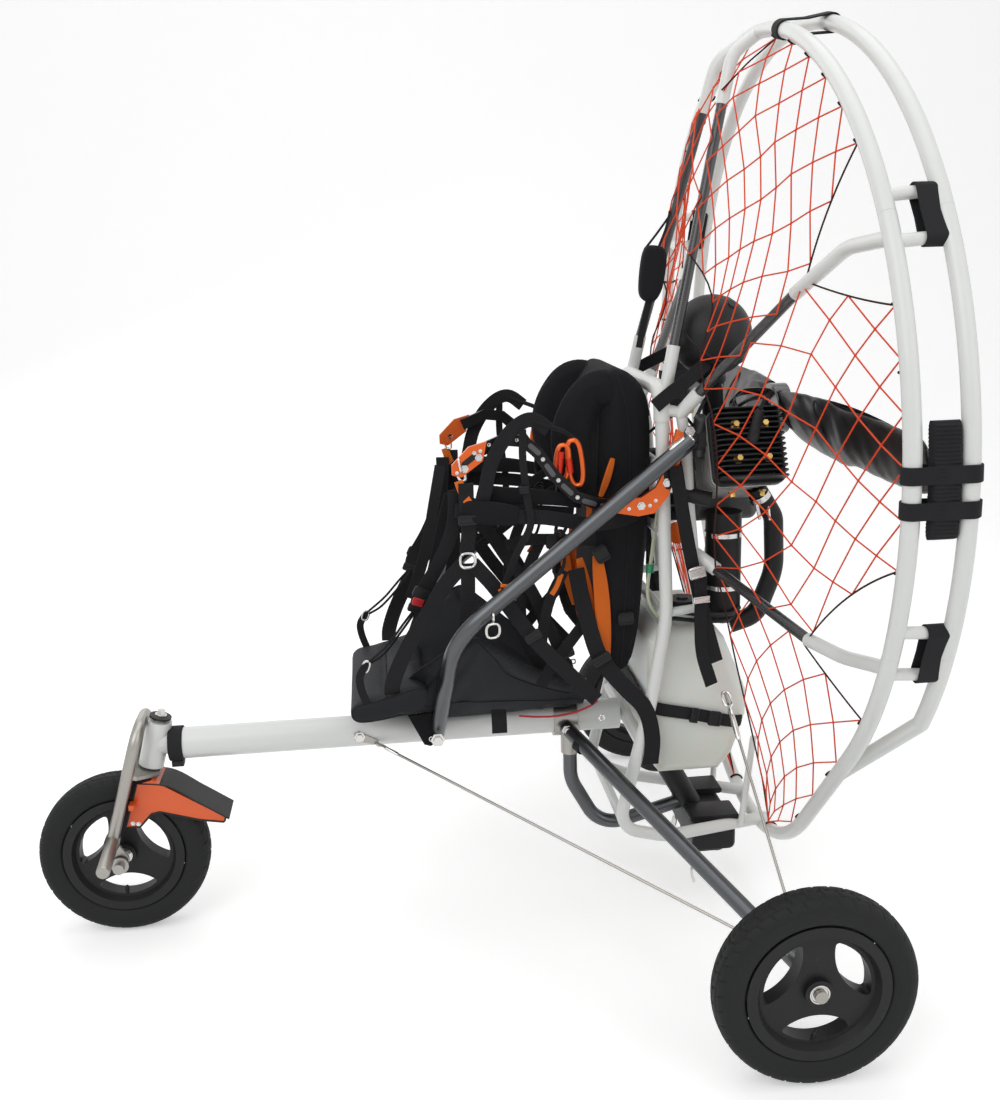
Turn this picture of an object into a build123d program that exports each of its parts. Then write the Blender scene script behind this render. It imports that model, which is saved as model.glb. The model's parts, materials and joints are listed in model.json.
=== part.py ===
from build123d import *
import math
import os

# Paramotor trike, in millimetres. X runs rearwards from the front wheel, Y to the pilot's right
# and Z up. Places are given from the rear axle line on the ground; FRAME_SHIFT then moves the
# origin to the middle of the bounding box. A piece on both sides is made on the right and mirrored.

# Wheels
WHEELBASE = 1117
HALF_TRACK = 608
TYRE_RADIUS = 157
TYRE_WIDTH = 57
TREAD_SHOULDER = 14
BEAD_RADIUS = 103
RIM_RADIUS = 111
RIM_WIDTH = 44
RIM_FLANGE = 3
WEB_THICKNESS = 28
WEB_RADIUS = 89
HUB_RADIUS = 22
HUB_LENGTH = 46
HOLE_PITCH_RADIUS = 62
HOLE_LENGTH = 110
HOLE_BOW = 21
HOLE_TURNS = (90, 210, 330)
AXLE_RADIUS = 6
AXLE_HEAD = 10

# Clearances
RUNNING_GAP = 0.05
SEAT_GAP = 0.3

# Steering
STEER_RAKE = 15.4
HEAD_SETBACK = 86
HEAD_TOP_X = HEAD_SETBACK - WHEELBASE
HEAD_TOP_Z = 412
HEAD_LENGTH = 88
HEAD_RADIUS = 23
STEM_RADIUS = 12
CROWN_THICKNESS = 8
FORK_HALF_WIDTH = 60
FORK_TUBE = 11
FORK_RISE = 32
FORK_BEND = 38
FORK_FOOT = 198
PEG_LENGTH = 125
PEG_RADIUS = 10
GUARD_THICKNESS = 3
GUARD_GAP = 6.5
GUARD_HALF_WIDTH = TYRE_WIDTH / 2 + GUARD_GAP + GUARD_THICKNESS

# Main tube and rear arms
MAIN_TUBE_RADIUS = 29
MAIN_TUBE_Z = 365
MAIN_TUBE_REAR = -172
COLLAR_WALL = 6
COLLAR_FRONT = -300
COLLAR_REAR = -255
CRADLE_RADIUS = 13.5
ARM_RADIUS = 14
ARM_ROOT = (-280, 42, 360)
KNUCKLE_SIZE = 34
KNUCKLE_WIDTH = 26
KNUCKLE_GAP = 6
STAY_RADIUS = 2.5

# Chassis
FRAME_RADIUS = 11.5
FRAME_HALF_WIDTH = 150
UPRIGHT_X = -124
CROSS_X = -122
CROSS_RADIUS = 9
HOOP_RADIUS = 14
HOOP_TOP_Z = 1002
HOOP_FOOT_Z = 948
REAR_UPRIGHT_RADIUS = 9.5
REAR_UPRIGHT_Y = 145
SIDE_BAR_RADIUS = 14

# Cage
CAGE_X = 83.5
CAGE_LEAN = 1.2
FRONT_RING_RADIUS = 663
RING_FLARE = 8
REAR_RING_RADIUS = FRONT_RING_RADIUS + RING_FLARE
RING_GAP = 76
RING_TUBE = 12.5
CROSS_TUBE = 9
SEAM_UPPER = 58
SEAM_LOWER = 111.5
TANGENT_ANGLE = 134
BOTTOM_RADIUS = 396
BOTTOM_UP = (BOTTOM_RADIUS - FRONT_RING_RADIUS) / -math.cos(math.radians(TANGENT_ANGLE))
HOOP_BOTTOM_Z = 136
CAGE_Z = HOOP_BOTTOM_Z + BOTTOM_RADIUS - BOTTOM_UP
REAR_END_ANGLE = 124
BRANCH_RADIUS = 11
ROD_RADIUS = 9
PAD_HEIGHT = 145
PAD_THICKNESS = 26

# Engine and propeller
CRANK_X = 12
CRANK_Z = 820
CASE_LENGTH = 124
CASE_WIDTH = 148
CASE_HEIGHT = 140
HEAD_TILT = 24
BARREL_RADIUS = 42
FIN_WIDTH = 120
FIN_DEPTH = 128
FIN_COUNT = 7
FIN_PITCH = 11
HEAD_WIDTH = 124
HEAD_HEIGHT = 134
HEAD_BASE = 212
HEAD_THICKNESS = 16
RIDGE_COUNT = 10
RIDGE_HEIGHT = 16
DRIVE_PLATE_X = CRANK_X + CASE_LENGTH / 2 + 12
DRIVE_PLATE_THICKNESS = 10
DRIVE_HEIGHT = 120
PROP_GAP = 18
PROP_HUB_WIDTH = 28
PROP_X = DRIVE_PLATE_X + DRIVE_PLATE_THICKNESS + PROP_GAP + PROP_HUB_WIDTH / 2
PROP_Z = CRANK_Z + DRIVE_HEIGHT
TIP_GAP = 27
PROP_RADIUS = FRONT_RING_RADIUS - TIP_GAP - abs(PROP_Z - CAGE_Z)
PROP_SHAFT = 10
PROP_HUB_RADIUS = 46
MOUNT_RADIUS = 14
EXHAUST_RADIUS = 17
MUFFLER_RADIUS = 32
DOME_RADIUS = 70
TANK_HALF_WIDTH = 128

# Harness
SEAT_HALF_WIDTH = 185
BACK_HALF_WIDTH = 128
COMFORT_Y = FRAME_HALF_WIDTH + 16
COMFORT_THICKNESS = 9
PLATE_THICKNESS = 8
HANG_X = -463
HANG_Z = 897
HANG_Y = 186
HANG_RADIUS = 5

FRAME_SHIFT = 547.2

NODES = {}


def add(name, *shapes):
    """Keeps the finished solids of a piece under its node name."""
    solids = [solid for shape in shapes for solid in shape.solids()]
    NODES[name] = solids[0] if len(solids) == 1 else Compound(solids)


def left(shape):
    """The same piece on the pilot's left, where Y is negative."""
    return mirror(shape, about=Plane.XZ)


def rod(start, end, radius):
    """Round bar between two points."""
    start, end = Vector(*start), Vector(*end)
    return extrude(Plane(origin=start, z_dir=end - start) * Circle(radius), (end - start).length)


def tube(points, radius, bends):
    """Round bar along straight runs joined by arcs; bends holds one radius for each corner."""
    path = FilletPolyline(*points, radius=bends)
    return sweep(Plane(origin=path @ 0, z_dir=path % 0) * Circle(radius), path=path)


def block(size, at):
    """Upright box with its middle at a point."""
    return Pos(*at) * Box(*size)


def sheet(outline, y_low, y_high):
    """Plate of a side outline, given as X and Z, between two values of Y."""
    face = Plane.XZ * make_face(Polyline(*outline, close=True))
    return Pos(0, y_high, 0) * extrude(face, y_high - y_low)


def seated(piece, *others):
    """The piece with every neighbour that it meets cut away from its end."""
    for other in others:
        piece = piece - other
    return max(piece.solids(), key=lambda solid: solid.volume)


# Wheels
def tyre():
    """Tyre about the Y axis: crowned tread, round shoulders and two beads inside the flanges."""
    half = TYRE_WIDTH / 2
    shoulder = TYRE_RADIUS - TREAD_SHOULDER
    wall = (TYRE_RADIUS + BEAD_RADIUS) / 2
    lip, lip_half = RIM_RADIUS + 1, RIM_WIDTH / 2 - SEAT_GAP
    bead_half = lip_half - 4
    bead = Polyline((lip, -lip_half), (BEAD_RADIUS, -bead_half), (BEAD_RADIUS, bead_half), (lip, lip_half))
    edges = [bead]
    for side in (1, -1):
        edges.append(ThreePointArc((lip, side * lip_half), (wall, side * half), (shoulder, side * (half - 4))))
        edges.append(ThreePointArc((shoulder, side * (half - 4)), (TYRE_RADIUS - 4, side * (half - 13)),
                                   (TYRE_RADIUS, 0)))
    return revolve(make_face(edges), Axis.Y, 360)


def lens_hole():
    """Cutter for one lens-shaped hole, its length across the radius."""
    tips = (HOLE_PITCH_RADIUS, -HOLE_LENGTH / 2), (HOLE_PITCH_RADIUS, HOLE_LENGTH / 2)
    outer = ThreePointArc(tips[0], (HOLE_PITCH_RADIUS + HOLE_BOW, 0), tips[1])
    inner = ThreePointArc(tips[1], (HOLE_PITCH_RADIUS - HOLE_BOW, 0), tips[0])
    face = fillet(make_face([outer, inner]).vertices(), HOLE_BOW / 4)
    return extrude(Rot(90, 0, 0) * face, RIM_WIDTH, both=True)


def rim():
    """Moulded wheel about the Y axis: rim with two flanges, web with three lens holes, hub."""
    half, seat = RIM_WIDTH / 2, BEAD_RADIUS - SEAT_GAP
    web, outer = WEB_THICKNESS / 2, RIM_WIDTH / 2 + RIM_FLANGE
    profile = [(HUB_RADIUS, -web), (WEB_RADIUS, -web), (WEB_RADIUS + 6, -outer), (RIM_RADIUS, -outer),
               (RIM_RADIUS, -half), (seat, 4 - half), (seat, half - 4), (RIM_RADIUS, half),
               (RIM_RADIUS, outer), (WEB_RADIUS + 6, outer), (WEB_RADIUS, web), (HUB_RADIUS, web)]
    wheel = revolve(make_face(Polyline(*profile, close=True)), Axis.Y, 360)
    wheel += Rot(90, 0, 0) * Cylinder(HUB_RADIUS, HUB_LENGTH)
    for turn in HOLE_TURNS:
        wheel -= Rot(0, turn, 0) * lens_hole()
    return wheel - Rot(90, 0, 0) * Cylinder(AXLE_RADIUS + RUNNING_GAP, HUB_LENGTH + 2)


def wheels():
    places = {"front": (-WHEELBASE, 0), "left": (0, -HALF_TRACK), "right": (0, HALF_TRACK)}
    one_rim, one_tyre = rim(), tyre()
    for side, (x, y) in places.items():
        add(side + "_rim", Pos(x, y, TYRE_RADIUS) * one_rim)
        add(side + "_tyre", Pos(x, y, TYRE_RADIUS) * one_tyre)


# Steering
def steer_point(along, y=0.0):
    """Point at a distance down the steering axis from the top of the head tube."""
    rake = math.radians(STEER_RAKE)
    return (HEAD_TOP_X - along * math.sin(rake), y, HEAD_TOP_Z - along * math.cos(rake))


def fork():
    """Bent tube over the head tube, with stem, crown, leg clamps, dropouts and foot pegs."""
    axle_x, axle_z, legs = -WHEELBASE, TYRE_RADIUS, FORK_HALF_WIDTH
    points = [(axle_x, -legs, axle_z), steer_point(FORK_FOOT, -legs), steer_point(-FORK_RISE, -legs),
              steer_point(-FORK_RISE, legs), steer_point(FORK_FOOT, legs), (axle_x, legs, axle_z)]
    frame = tube(points, FORK_TUBE, [60, FORK_BEND, FORK_BEND, 60])
    crown_top, crown_foot = HEAD_LENGTH + 3, HEAD_LENGTH + 3 + CROWN_THICKNESS
    middle = (crown_top + crown_foot) / 2
    frame += rod(steer_point(-FORK_RISE), steer_point(crown_foot), STEM_RADIUS)
    frame += rod(steer_point(crown_top), steer_point(crown_foot), HEAD_RADIUS)
    frame += rod(steer_point(middle, -legs), steer_point(middle, legs), CROWN_THICKNESS / 2)
    for side in (-1, 1):
        frame += rod(steer_point(crown_top - 6, side * legs), steer_point(crown_foot + 4, side * legs),
                     FORK_TUBE + 4)
        frame += rod((axle_x, side * (legs - 13), axle_z), (axle_x, side * (legs + 12), axle_z), FORK_TUBE + 4)
        frame += rod(steer_point(FORK_FOOT - 12, side * legs),
                     steer_point(FORK_FOOT - 12, side * (legs + PEG_LENGTH)), PEG_RADIUS)
    return frame - rod((axle_x, -2 * legs, axle_z), (axle_x, 2 * legs, axle_z), AXLE_RADIUS)


def front_axle():
    reach = FORK_HALF_WIDTH + 12
    bolt = rod((-WHEELBASE, -reach, TYRE_RADIUS), (-WHEELBASE, reach, TYRE_RADIUS), AXLE_RADIUS)
    for side in (-1, 1):
        bolt += rod((-WHEELBASE, side * reach, TYRE_RADIUS), (-WHEELBASE, side * (reach + 7), TYRE_RADIUS),
                    AXLE_HEAD)
    return bolt


def mudguard():
    """Flat top sheet behind the fork with a side panel over each side of the tyre.

    Its outlines are measured from the front axle."""
    panel = [(40, 304), (67, 310), (194, 225), (192, 217), (147, 225), (76, 247), (61, 244), (39, 220), (12, 220)]
    roof = [(65, 308), (67, 311), (196, 225), (194, 222)]
    guard = sheet(roof, -GUARD_HALF_WIDTH, GUARD_HALF_WIDTH)
    guard += sheet(panel, GUARD_HALF_WIDTH - GUARD_THICKNESS, GUARD_HALF_WIDTH)
    guard += sheet(panel, -GUARD_HALF_WIDTH, GUARD_THICKNESS - GUARD_HALF_WIDTH)
    reach = FORK_HALF_WIDTH - GUARD_HALF_WIDTH
    for side in (-1, 1):
        guard += block((12, reach, 10), (32, side * (GUARD_HALF_WIDTH + reach / 2), 268))
    return Pos(-WHEELBASE, 0, 0) * guard


def main_tube():
    """Head tube with its bore, and the long tube behind it."""
    joint = (HEAD_TOP_X + 50, 0, MAIN_TUBE_Z)
    beam = rod((HEAD_TOP_X + 40, 0, MAIN_TUBE_Z), (MAIN_TUBE_REAR, 0, MAIN_TUBE_Z), MAIN_TUBE_RADIUS)
    beam += rod(steer_point(HEAD_LENGTH * 0.47), joint, MAIN_TUBE_RADIUS - 6)
    beam += rod(steer_point(0), steer_point(HEAD_LENGTH), HEAD_RADIUS)
    return beam - rod(steer_point(-5), steer_point(HEAD_LENGTH + 5), STEM_RADIUS + RUNNING_GAP)


def steering():
    frame = fork()
    add("fork", frame)
    add("front_axle", front_axle())
    add("mudguard", mudguard() - frame)
    add("main_tube", main_tube())


# Rear arms
def knuckle_y():
    """Middle of the knuckle, clear of the wheel's hub."""
    return HALF_TRACK - HUB_LENGTH / 2 - KNUCKLE_GAP - KNUCKLE_WIDTH / 2


def rear_arm(collar):
    tip = (-6, knuckle_y() - 3, TYRE_RADIUS + 6)
    arm = rod(ARM_ROOT, tip, ARM_RADIUS) + block((KNUCKLE_SIZE, KNUCKLE_WIDTH, KNUCKLE_SIZE),
                                                 (0, knuckle_y(), TYRE_RADIUS))
    arm = arm - rod((0, 0, TYRE_RADIUS), (0, HALF_TRACK, TYRE_RADIUS), AXLE_RADIUS)
    return seated(arm, collar)


def rear_axle():
    inner = knuckle_y() - KNUCKLE_WIDTH / 2
    outer = HALF_TRACK + HUB_LENGTH / 2 + 2
    pin = rod((0, inner, TYRE_RADIUS), (0, outer, TYRE_RADIUS), AXLE_RADIUS)
    return pin + rod((0, outer, TYRE_RADIUS), (0, outer + 7, TYRE_RADIUS), AXLE_HEAD)


def stay_lug():
    """Steel plate bolted to the side of the main tube, where the front stay starts."""
    outline = [(-676, 360), (-676, 372), (-668, 376), (-632, 355), (-634, 347), (-668, 356)]
    return sheet(outline, MAIN_TUBE_RADIUS + SEAT_GAP, MAIN_TUBE_RADIUS + 4)


def arms():
    shell = rod((COLLAR_FRONT, 0, MAIN_TUBE_Z), (COLLAR_REAR, 0, MAIN_TUBE_Z), MAIN_TUBE_RADIUS + COLLAR_WALL)
    hole = rod((COLLAR_FRONT - 5, 0, MAIN_TUBE_Z), (MAIN_TUBE_REAR, 0, MAIN_TUBE_Z), MAIN_TUBE_RADIUS)
    sleeve = rod((-266, 0, 292), (-266, 0, MAIN_TUBE_Z), CRADLE_RADIUS + 4)
    cradle = tube([(-266, 0, MAIN_TUBE_Z - MAIN_TUBE_RADIUS), (-266, 0, 235), (-208, 0, 128), (-44, 0, 172)],
                  CRADLE_RADIUS, [80, 60])
    collar = shell + sleeve - hole - cradle
    add("collar_and_lugs", collar, stay_lug(), left(stay_lug()))
    add("cradle_tube", cradle - hole)
    arm = rear_arm(shell + sleeve)
    add("arm_right", arm)
    add("arm_left", left(arm))
    add("rear_axles", rear_axle(), left(rear_axle()))


# Cage
def cage_plane():
    """The hoops' own plane: its X to the right, its Y up and its Z rearwards."""
    lean = math.radians(CAGE_LEAN)
    return Plane(origin=(CAGE_X, 0, CAGE_Z), x_dir=(0, 1, 0), z_dir=(math.cos(lean), 0, math.sin(lean)))


def in_place(point):
    """A point of the cage's own plane, measured from the rear axle."""
    return tuple(cage_plane().from_local_coords(Vector(*point)))


def on_ring(radius, angle, back=0.0):
    """Point in the cage's plane, its angle from the top towards the right in degrees."""
    turn = math.radians(angle)
    return (radius * math.sin(turn), radius * math.cos(turn), back)


def arc_edge(radius, start, end, back=0.0):
    return ThreePointArc(*[on_ring(radius, angle, back) for angle in (start, (start + end) / 2, end)])


def along(path, radius):
    return sweep(Plane(origin=path @ 0, z_dir=path % 0) * Circle(radius), path=path)


def ring_cross(angle):
    return rod(on_ring(FRONT_RING_RADIUS, angle), on_ring(REAR_RING_RADIUS, angle, RING_GAP), CROSS_TUBE)


def both_rings(start, end):
    """Front and rear hoop between two angles."""
    return (along(arc_edge(FRONT_RING_RADIUS, start, end), RING_TUBE)
            + along(arc_edge(REAR_RING_RADIUS, start, end, RING_GAP), RING_TUBE))


SEAM_STEP = math.degrees(SEAT_GAP / 2 / FRONT_RING_RADIUS)
# Columns: distance inside the front hoop, angle from the top, distance ahead of it
CAP_TOP = on_ring(FRONT_RING_RADIUS - 114, 6.3, -74)
CAP_UPPER = on_ring(FRONT_RING_RADIUS - 253, 53.5, -40)
CAP_LOWER = on_ring(FRONT_RING_RADIUS - 171, 125.6, -39)


def cage_top():
    end = SEAM_UPPER - SEAM_STEP
    part = both_rings(-end, end)
    for side in (-1, 1):
        part += ring_cross(side * (SEAM_UPPER - 2.5))
        elbow = on_ring(FRONT_RING_RADIUS - 34, side * 4.4, -52)
        end = (side * CAP_TOP[0], CAP_TOP[1], CAP_TOP[2])
        part += tube([on_ring(FRONT_RING_RADIUS, side * 2.6), elbow, end], BRANCH_RADIUS, [50])
    return part


def cage_side():
    part = both_rings(SEAM_UPPER + SEAM_STEP, SEAM_LOWER - SEAM_STEP)
    part += ring_cross(SEAM_UPPER + 3.5) + ring_cross(SEAM_LOWER - 3.5)
    elbow = on_ring(FRONT_RING_RADIUS - 108, 56, -12)
    return part + tube([on_ring(FRONT_RING_RADIUS, 61), elbow, CAP_UPPER], BRANCH_RADIUS, [110])


def cage_bottom():
    """Lower third: round, then straight, then a tighter round at the very bottom."""
    start = SEAM_LOWER + SEAM_STEP
    turn = math.radians(TANGENT_ANGLE)
    corner = {side: (side * BOTTOM_RADIUS * math.sin(turn), BOTTOM_UP + BOTTOM_RADIUS * math.cos(turn), 0)
              for side in (1, -1)}
    straight = {side: Line(on_ring(FRONT_RING_RADIUS, side * TANGENT_ANGLE), corner[side]) for side in (1, -1)}
    round_end = ThreePointArc(corner[1], (0, BOTTOM_UP - BOTTOM_RADIUS, 0), corner[-1])
    hoop = Wire([arc_edge(FRONT_RING_RADIUS, start, TANGENT_ANGLE), straight[1], round_end, straight[-1],
                 arc_edge(FRONT_RING_RADIUS, -TANGENT_ANGLE, -start)])
    part = along(hoop, RING_TUBE)
    for side in (1, -1):
        heel = on_ring(REAR_RING_RADIUS, side * REAR_END_ANGLE, RING_GAP)
        part += along(arc_edge(REAR_RING_RADIUS, side * start, side * REAR_END_ANGLE, RING_GAP), RING_TUBE)
        part += rod(heel, tuple(straight[side] @ 0.2), RING_TUBE)
        part += Pos(*heel) * Sphere(RING_TUBE)
        part += ring_cross(side * (SEAM_LOWER + 3))
        elbow = on_ring(FRONT_RING_RADIUS - 100, side * 121, -14)
        end = (side * CAP_LOWER[0], CAP_LOWER[1], CAP_LOWER[2])
        part += tube([on_ring(FRONT_RING_RADIUS, side * 113.5), elbow, end], BRANCH_RADIUS, [150])
    return part


def cage():
    plane = cage_plane()
    side = plane * cage_side()
    add("cage_top", plane * cage_top())
    add("cage_right", side)
    add("cage_left", left(side))
    add("cage_bottom", plane * cage_bottom())


def cage_pad():
    """Flat pad between the two hoops, level with the propeller's tip."""
    front_x, rear_x = CAGE_X + RING_TUBE, CAGE_X + RING_GAP - RING_TUBE
    y = (FRONT_RING_RADIUS + REAR_RING_RADIUS) / 2
    pad = block((rear_x - front_x + 10, PAD_THICKNESS, PAD_HEIGHT), ((front_x + rear_x) / 2, y, CAGE_Z + 14))
    clear = RING_TUBE + SEAT_GAP
    plane = cage_plane()
    hoops = (along(arc_edge(FRONT_RING_RADIUS, 80, 98), clear)
             + along(arc_edge(REAR_RING_RADIUS, 80, 98, RING_GAP), clear))
    return seated(pad, plane * hoops)


# Chassis
def side_frame():
    """Near upright, leaning leg, rounded toe and the base rail that ends on the front hoop."""
    y = FRAME_HALF_WIDTH
    points = [(UPRIGHT_X, y, HOOP_FOOT_Z), (UPRIGHT_X + 10, y, 600), (-143, y, 437), (-203, y, 200),
              (-110, y - 16, 168), (CAGE_X + 22, 60, HOOP_BOTTOM_Z + 16)]
    return seated(tube(points, FRAME_RADIUS, [300, 200, 45, 120]), NODES["cage_bottom"])


def hoop():
    """Inverted U on top of the uprights, with the sleeves of the upper cage rods."""
    y = FRAME_HALF_WIDTH
    points = [(UPRIGHT_X, -y, HOOP_FOOT_Z), (UPRIGHT_X, -y, HOOP_TOP_Z), (UPRIGHT_X, y, HOOP_TOP_Z),
              (UPRIGHT_X, y, HOOP_FOOT_Z)]
    part = tube(points, HOOP_RADIUS, [42, 42])
    for side in (-1, 1):
        part += rod((UPRIGHT_X + 8, side * 136, HOOP_TOP_Z - 14), (-98, side * 127, 1071), ROD_RADIUS + 2)
        part += rod((UPRIGHT_X, side * y, 968), (-90, side * y, 960), FRAME_RADIUS - 2)
        part += rod((-93, side * (y - 2), 957), (-66, side * 174, 996), ROD_RADIUS + 3)
    return part


def rear_upright():
    """Tube from the side rod's node down the back of the chassis."""
    points = [(-90, FRAME_HALF_WIDTH, 955), (-80, REAR_UPRIGHT_Y + 2, 900), (-73, REAR_UPRIGHT_Y, 790),
              (-55, REAR_UPRIGHT_Y, 606)]
    return tube(points, REAR_UPRIGHT_RADIUS, [50, 120])


def chassis():
    side = side_frame()
    top = seated(hoop(), side, left(side))
    add("frame_right", side)
    add("frame_left", left(side))
    add("frame_hoop", top)
    upright = seated(rear_upright(), top)
    post = seated(rod((61, 114, 345), (46, 96, 158), 6), side)
    upright += rod((-63, REAR_UPRIGHT_Y, 712), (-34, 180, 690), ROD_RADIUS + 3)
    bars = []
    # Columns: X, Z, radius, half length
    for x, z, radius, half in ((-114, 600, 10, 150), (CROSS_X, 752, CROSS_RADIUS, 150),
                               (CROSS_X, 868, CROSS_RADIUS, 150), (-159, MAIN_TUBE_Z, 12, 150),
                               (-190, 205, 9, 150)):
        bar = rod((x, -half, z), (x, half, z), radius)
        bars.append(bar - side - left(side) - NODES["main_tube"] - NODES["cradle_tube"])
    for side_y in (-1, 1):
        link = rod((-114, side_y * REAR_UPRIGHT_Y, 606), (-55, side_y * REAR_UPRIGHT_Y, 612), 8)
        bars.append(seated(link, upright, left(upright), side, left(side)))
    add("rear_uprights", upright, left(upright), post, left(post))
    add("cross_tubes", *bars)


def base_bracket():
    """Black box under the rails' end, with the strut that carries the tank."""
    box = block((84, 176, 70), (-2, 0, 133)) - block((70, 150, 80), (-2, 0, 120))
    strut = rod((-28, 0, 166), (-92, 0, 282), 11)
    plate = block((130, 120, 9), (-88, 0, 283.5))
    whole = box + strut + plate
    return seated(whole, NODES["frame_right"], NODES["frame_left"], NODES["cradle_tube"], NODES["cage_bottom"])


def side_bar():
    """Grey bar from the main tube's side, out and back up to the chassis, with its clevis."""
    foot = (-523, MAIN_TUBE_RADIUS + SIDE_BAR_RADIUS + 1, MAIN_TUBE_Z + 1)
    bar = tube([foot, (-493, 216, 604), (-82, FRAME_HALF_WIDTH + 34, 918)], SIDE_BAR_RADIUS, [110])
    bar += rod((-86, FRAME_HALF_WIDTH + 28, 912), (-80, FRAME_HALF_WIDTH, 934), 6)
    return seated(bar, NODES["main_tube"], NODES["frame_hoop"], NODES["rear_uprights"])


def stays():
    lug_end = (-638, MAIN_TUBE_RADIUS + 2, 351)
    front = rod(lug_end, (-20, knuckle_y() - 10, 174), STAY_RADIUS)
    front = seated(front, NODES["arm_right"], NODES["collar_and_lugs"], NODES["main_tube"])
    add("front_stays", front, left(front))
    rear = seated(rod((-12, 172, 458), (2, knuckle_y() - 4, 170), STAY_RADIUS), NODES["arm_right"])
    add("rear_stays", rear, left(rear))
    strap = rod((-104, 184, 878), (-12.5, 172.2, 461), 5)
    strap = seated(strap, NODES["side_bar_right"])
    add("stay_straps", strap, left(strap))


# Engine
def engine():
    case = block((CASE_LENGTH, CASE_WIDTH, CASE_HEIGHT), (CRANK_X, 0, CRANK_Z))
    case = fillet(case.edges(), 16)
    add("crankcase", case)
    tilt = math.radians(HEAD_TILT)
    axis = Plane(origin=(CRANK_X, 0, CRANK_Z), x_dir=(1, 0, 0), z_dir=(0, -math.cos(tilt), math.sin(tilt)))
    barrel = Pos(0, 0, HEAD_BASE / 2) * Cylinder(BARREL_RADIUS, HEAD_BASE)
    for i in range(FIN_COUNT):
        barrel += Pos(0, 0, HEAD_BASE - 14 - FIN_PITCH * i) * Box(FIN_WIDTH, FIN_DEPTH, 3)
    head = Pos(0, 0, HEAD_BASE + HEAD_THICKNESS / 2 - 3) * Box(HEAD_WIDTH, HEAD_HEIGHT, HEAD_THICKNESS)
    pitch = (HEAD_HEIGHT - 4) / (RIDGE_COUNT - 1)
    for i in range(RIDGE_COUNT):
        y = pitch * (i - (RIDGE_COUNT - 1) / 2)
        ridge = Box(HEAD_WIDTH - abs(y) * 0.12, 4, RIDGE_HEIGHT)
        head += Pos(0, y, HEAD_BASE + HEAD_THICKNESS + RIDGE_HEIGHT / 2 - 4) * ridge
    clear = block((CASE_LENGTH + 2, CASE_WIDTH, CASE_HEIGHT), (CRANK_X, 0, CRANK_Z))
    add("cylinder", seated(axis * (barrel + head), clear))

    dome = Pos(-18, -72, 1082) * Sphere(DOME_RADIUS)
    neck = rod((-14, -62, 1022), (2, -30, CRANK_Z + CASE_HEIGHT / 2), 19)
    add("airbox", seated(dome + neck, clear))

    pipe = tube([(42, -150, 826), (78, -142, 770), (88, -124, 670), (60, -112, 582), (14, -106, 566)],
                EXHAUST_RADIUS, [45, 120, 40])
    pipe = seated(pipe, NODES["cylinder"])
    body = rod((0, -104, 776), (0, -104, 600), MUFFLER_RADIUS) + Pos(0, -104, 600) * Sphere(MUFFLER_RADIUS)
    hanger = rod((0, -70, CRANK_Z - CASE_HEIGHT / 2 - 20), (0, -70, CRANK_Z - CASE_HEIGHT / 2), 8)
    add("exhaust", seated(pipe + body + hanger, clear))

    low, high = (DRIVE_PLATE_X, 0, CRANK_Z), (DRIVE_PLATE_X, 0, PROP_Z)
    plate = rod(low, (DRIVE_PLATE_X + DRIVE_PLATE_THICKNESS, 0, CRANK_Z), 42)
    plate += rod(high, (DRIVE_PLATE_X + DRIVE_PLATE_THICKNESS, 0, PROP_Z), 52)
    middle = (DRIVE_PLATE_X + DRIVE_PLATE_THICKNESS / 2, 0, (CRANK_Z + PROP_Z) / 2)
    plate += block((DRIVE_PLATE_THICKNESS, 84, PROP_Z - CRANK_Z), middle)
    case_rear = CRANK_X + CASE_LENGTH / 2
    plate += rod((case_rear, 0, CRANK_Z), low, 30)
    plate += rod(high, (PROP_X + 34, 0, PROP_Z), PROP_SHAFT)
    plate += rod((PROP_X + 27, 0, PROP_Z), (PROP_X + 34, 0, PROP_Z), PROP_SHAFT + 6)
    add("drive_plate", plate)

    front_face = CRANK_X - CASE_LENGTH / 2
    mounts = []
    for z in (766, 854):
        for y in (-55, 55):
            mount = rod((CROSS_X, y, z), (front_face + 4, y, z), MOUNT_RADIUS)
            mounts.append(seated(mount, case, NODES["cross_tubes"]))
    add("engine_mounts", *mounts)


def blade_section(place, chord, thick, twist):
    """Lens section across the blade at a distance along Y."""
    half = chord / 2
    upper = ThreePointArc((-half, 0), (0, thick), (half, 0))
    lower = ThreePointArc((half, 0), (0, -thick * 0.25), (-half, 0))
    plane = Plane(origin=(PROP_X, place, PROP_Z), x_dir=(0, 0, 1), z_dir=(0, 1, 0))
    return plane * (Rot(0, 0, twist) * make_face([upper, lower]))


def propeller():
    # Columns: place along the blade, chord, thickness, twist
    stations = [(36, 56, 14, 36), (190, 98, 11, 24), (420, 100, 8, 15), (PROP_RADIUS, 54, 4, 10)]
    blade = loft([blade_section(*row) for row in stations])
    other = Pos(0, 0, 2 * PROP_Z) * (Rot(180, 0, 0) * blade)
    hub = rod((PROP_X - 14, 0, PROP_Z), (PROP_X + 14, 0, PROP_Z), PROP_HUB_RADIUS)
    hub += rod((PROP_X + 14, 0, PROP_Z), (PROP_X + 20, 0, PROP_Z), PROP_HUB_RADIUS - 14)
    bore = rod((PROP_X - 60, 0, PROP_Z), (PROP_X + 60, 0, PROP_Z), PROP_SHAFT + RUNNING_GAP)
    add("propeller", blade + other + hub - bore)


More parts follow.
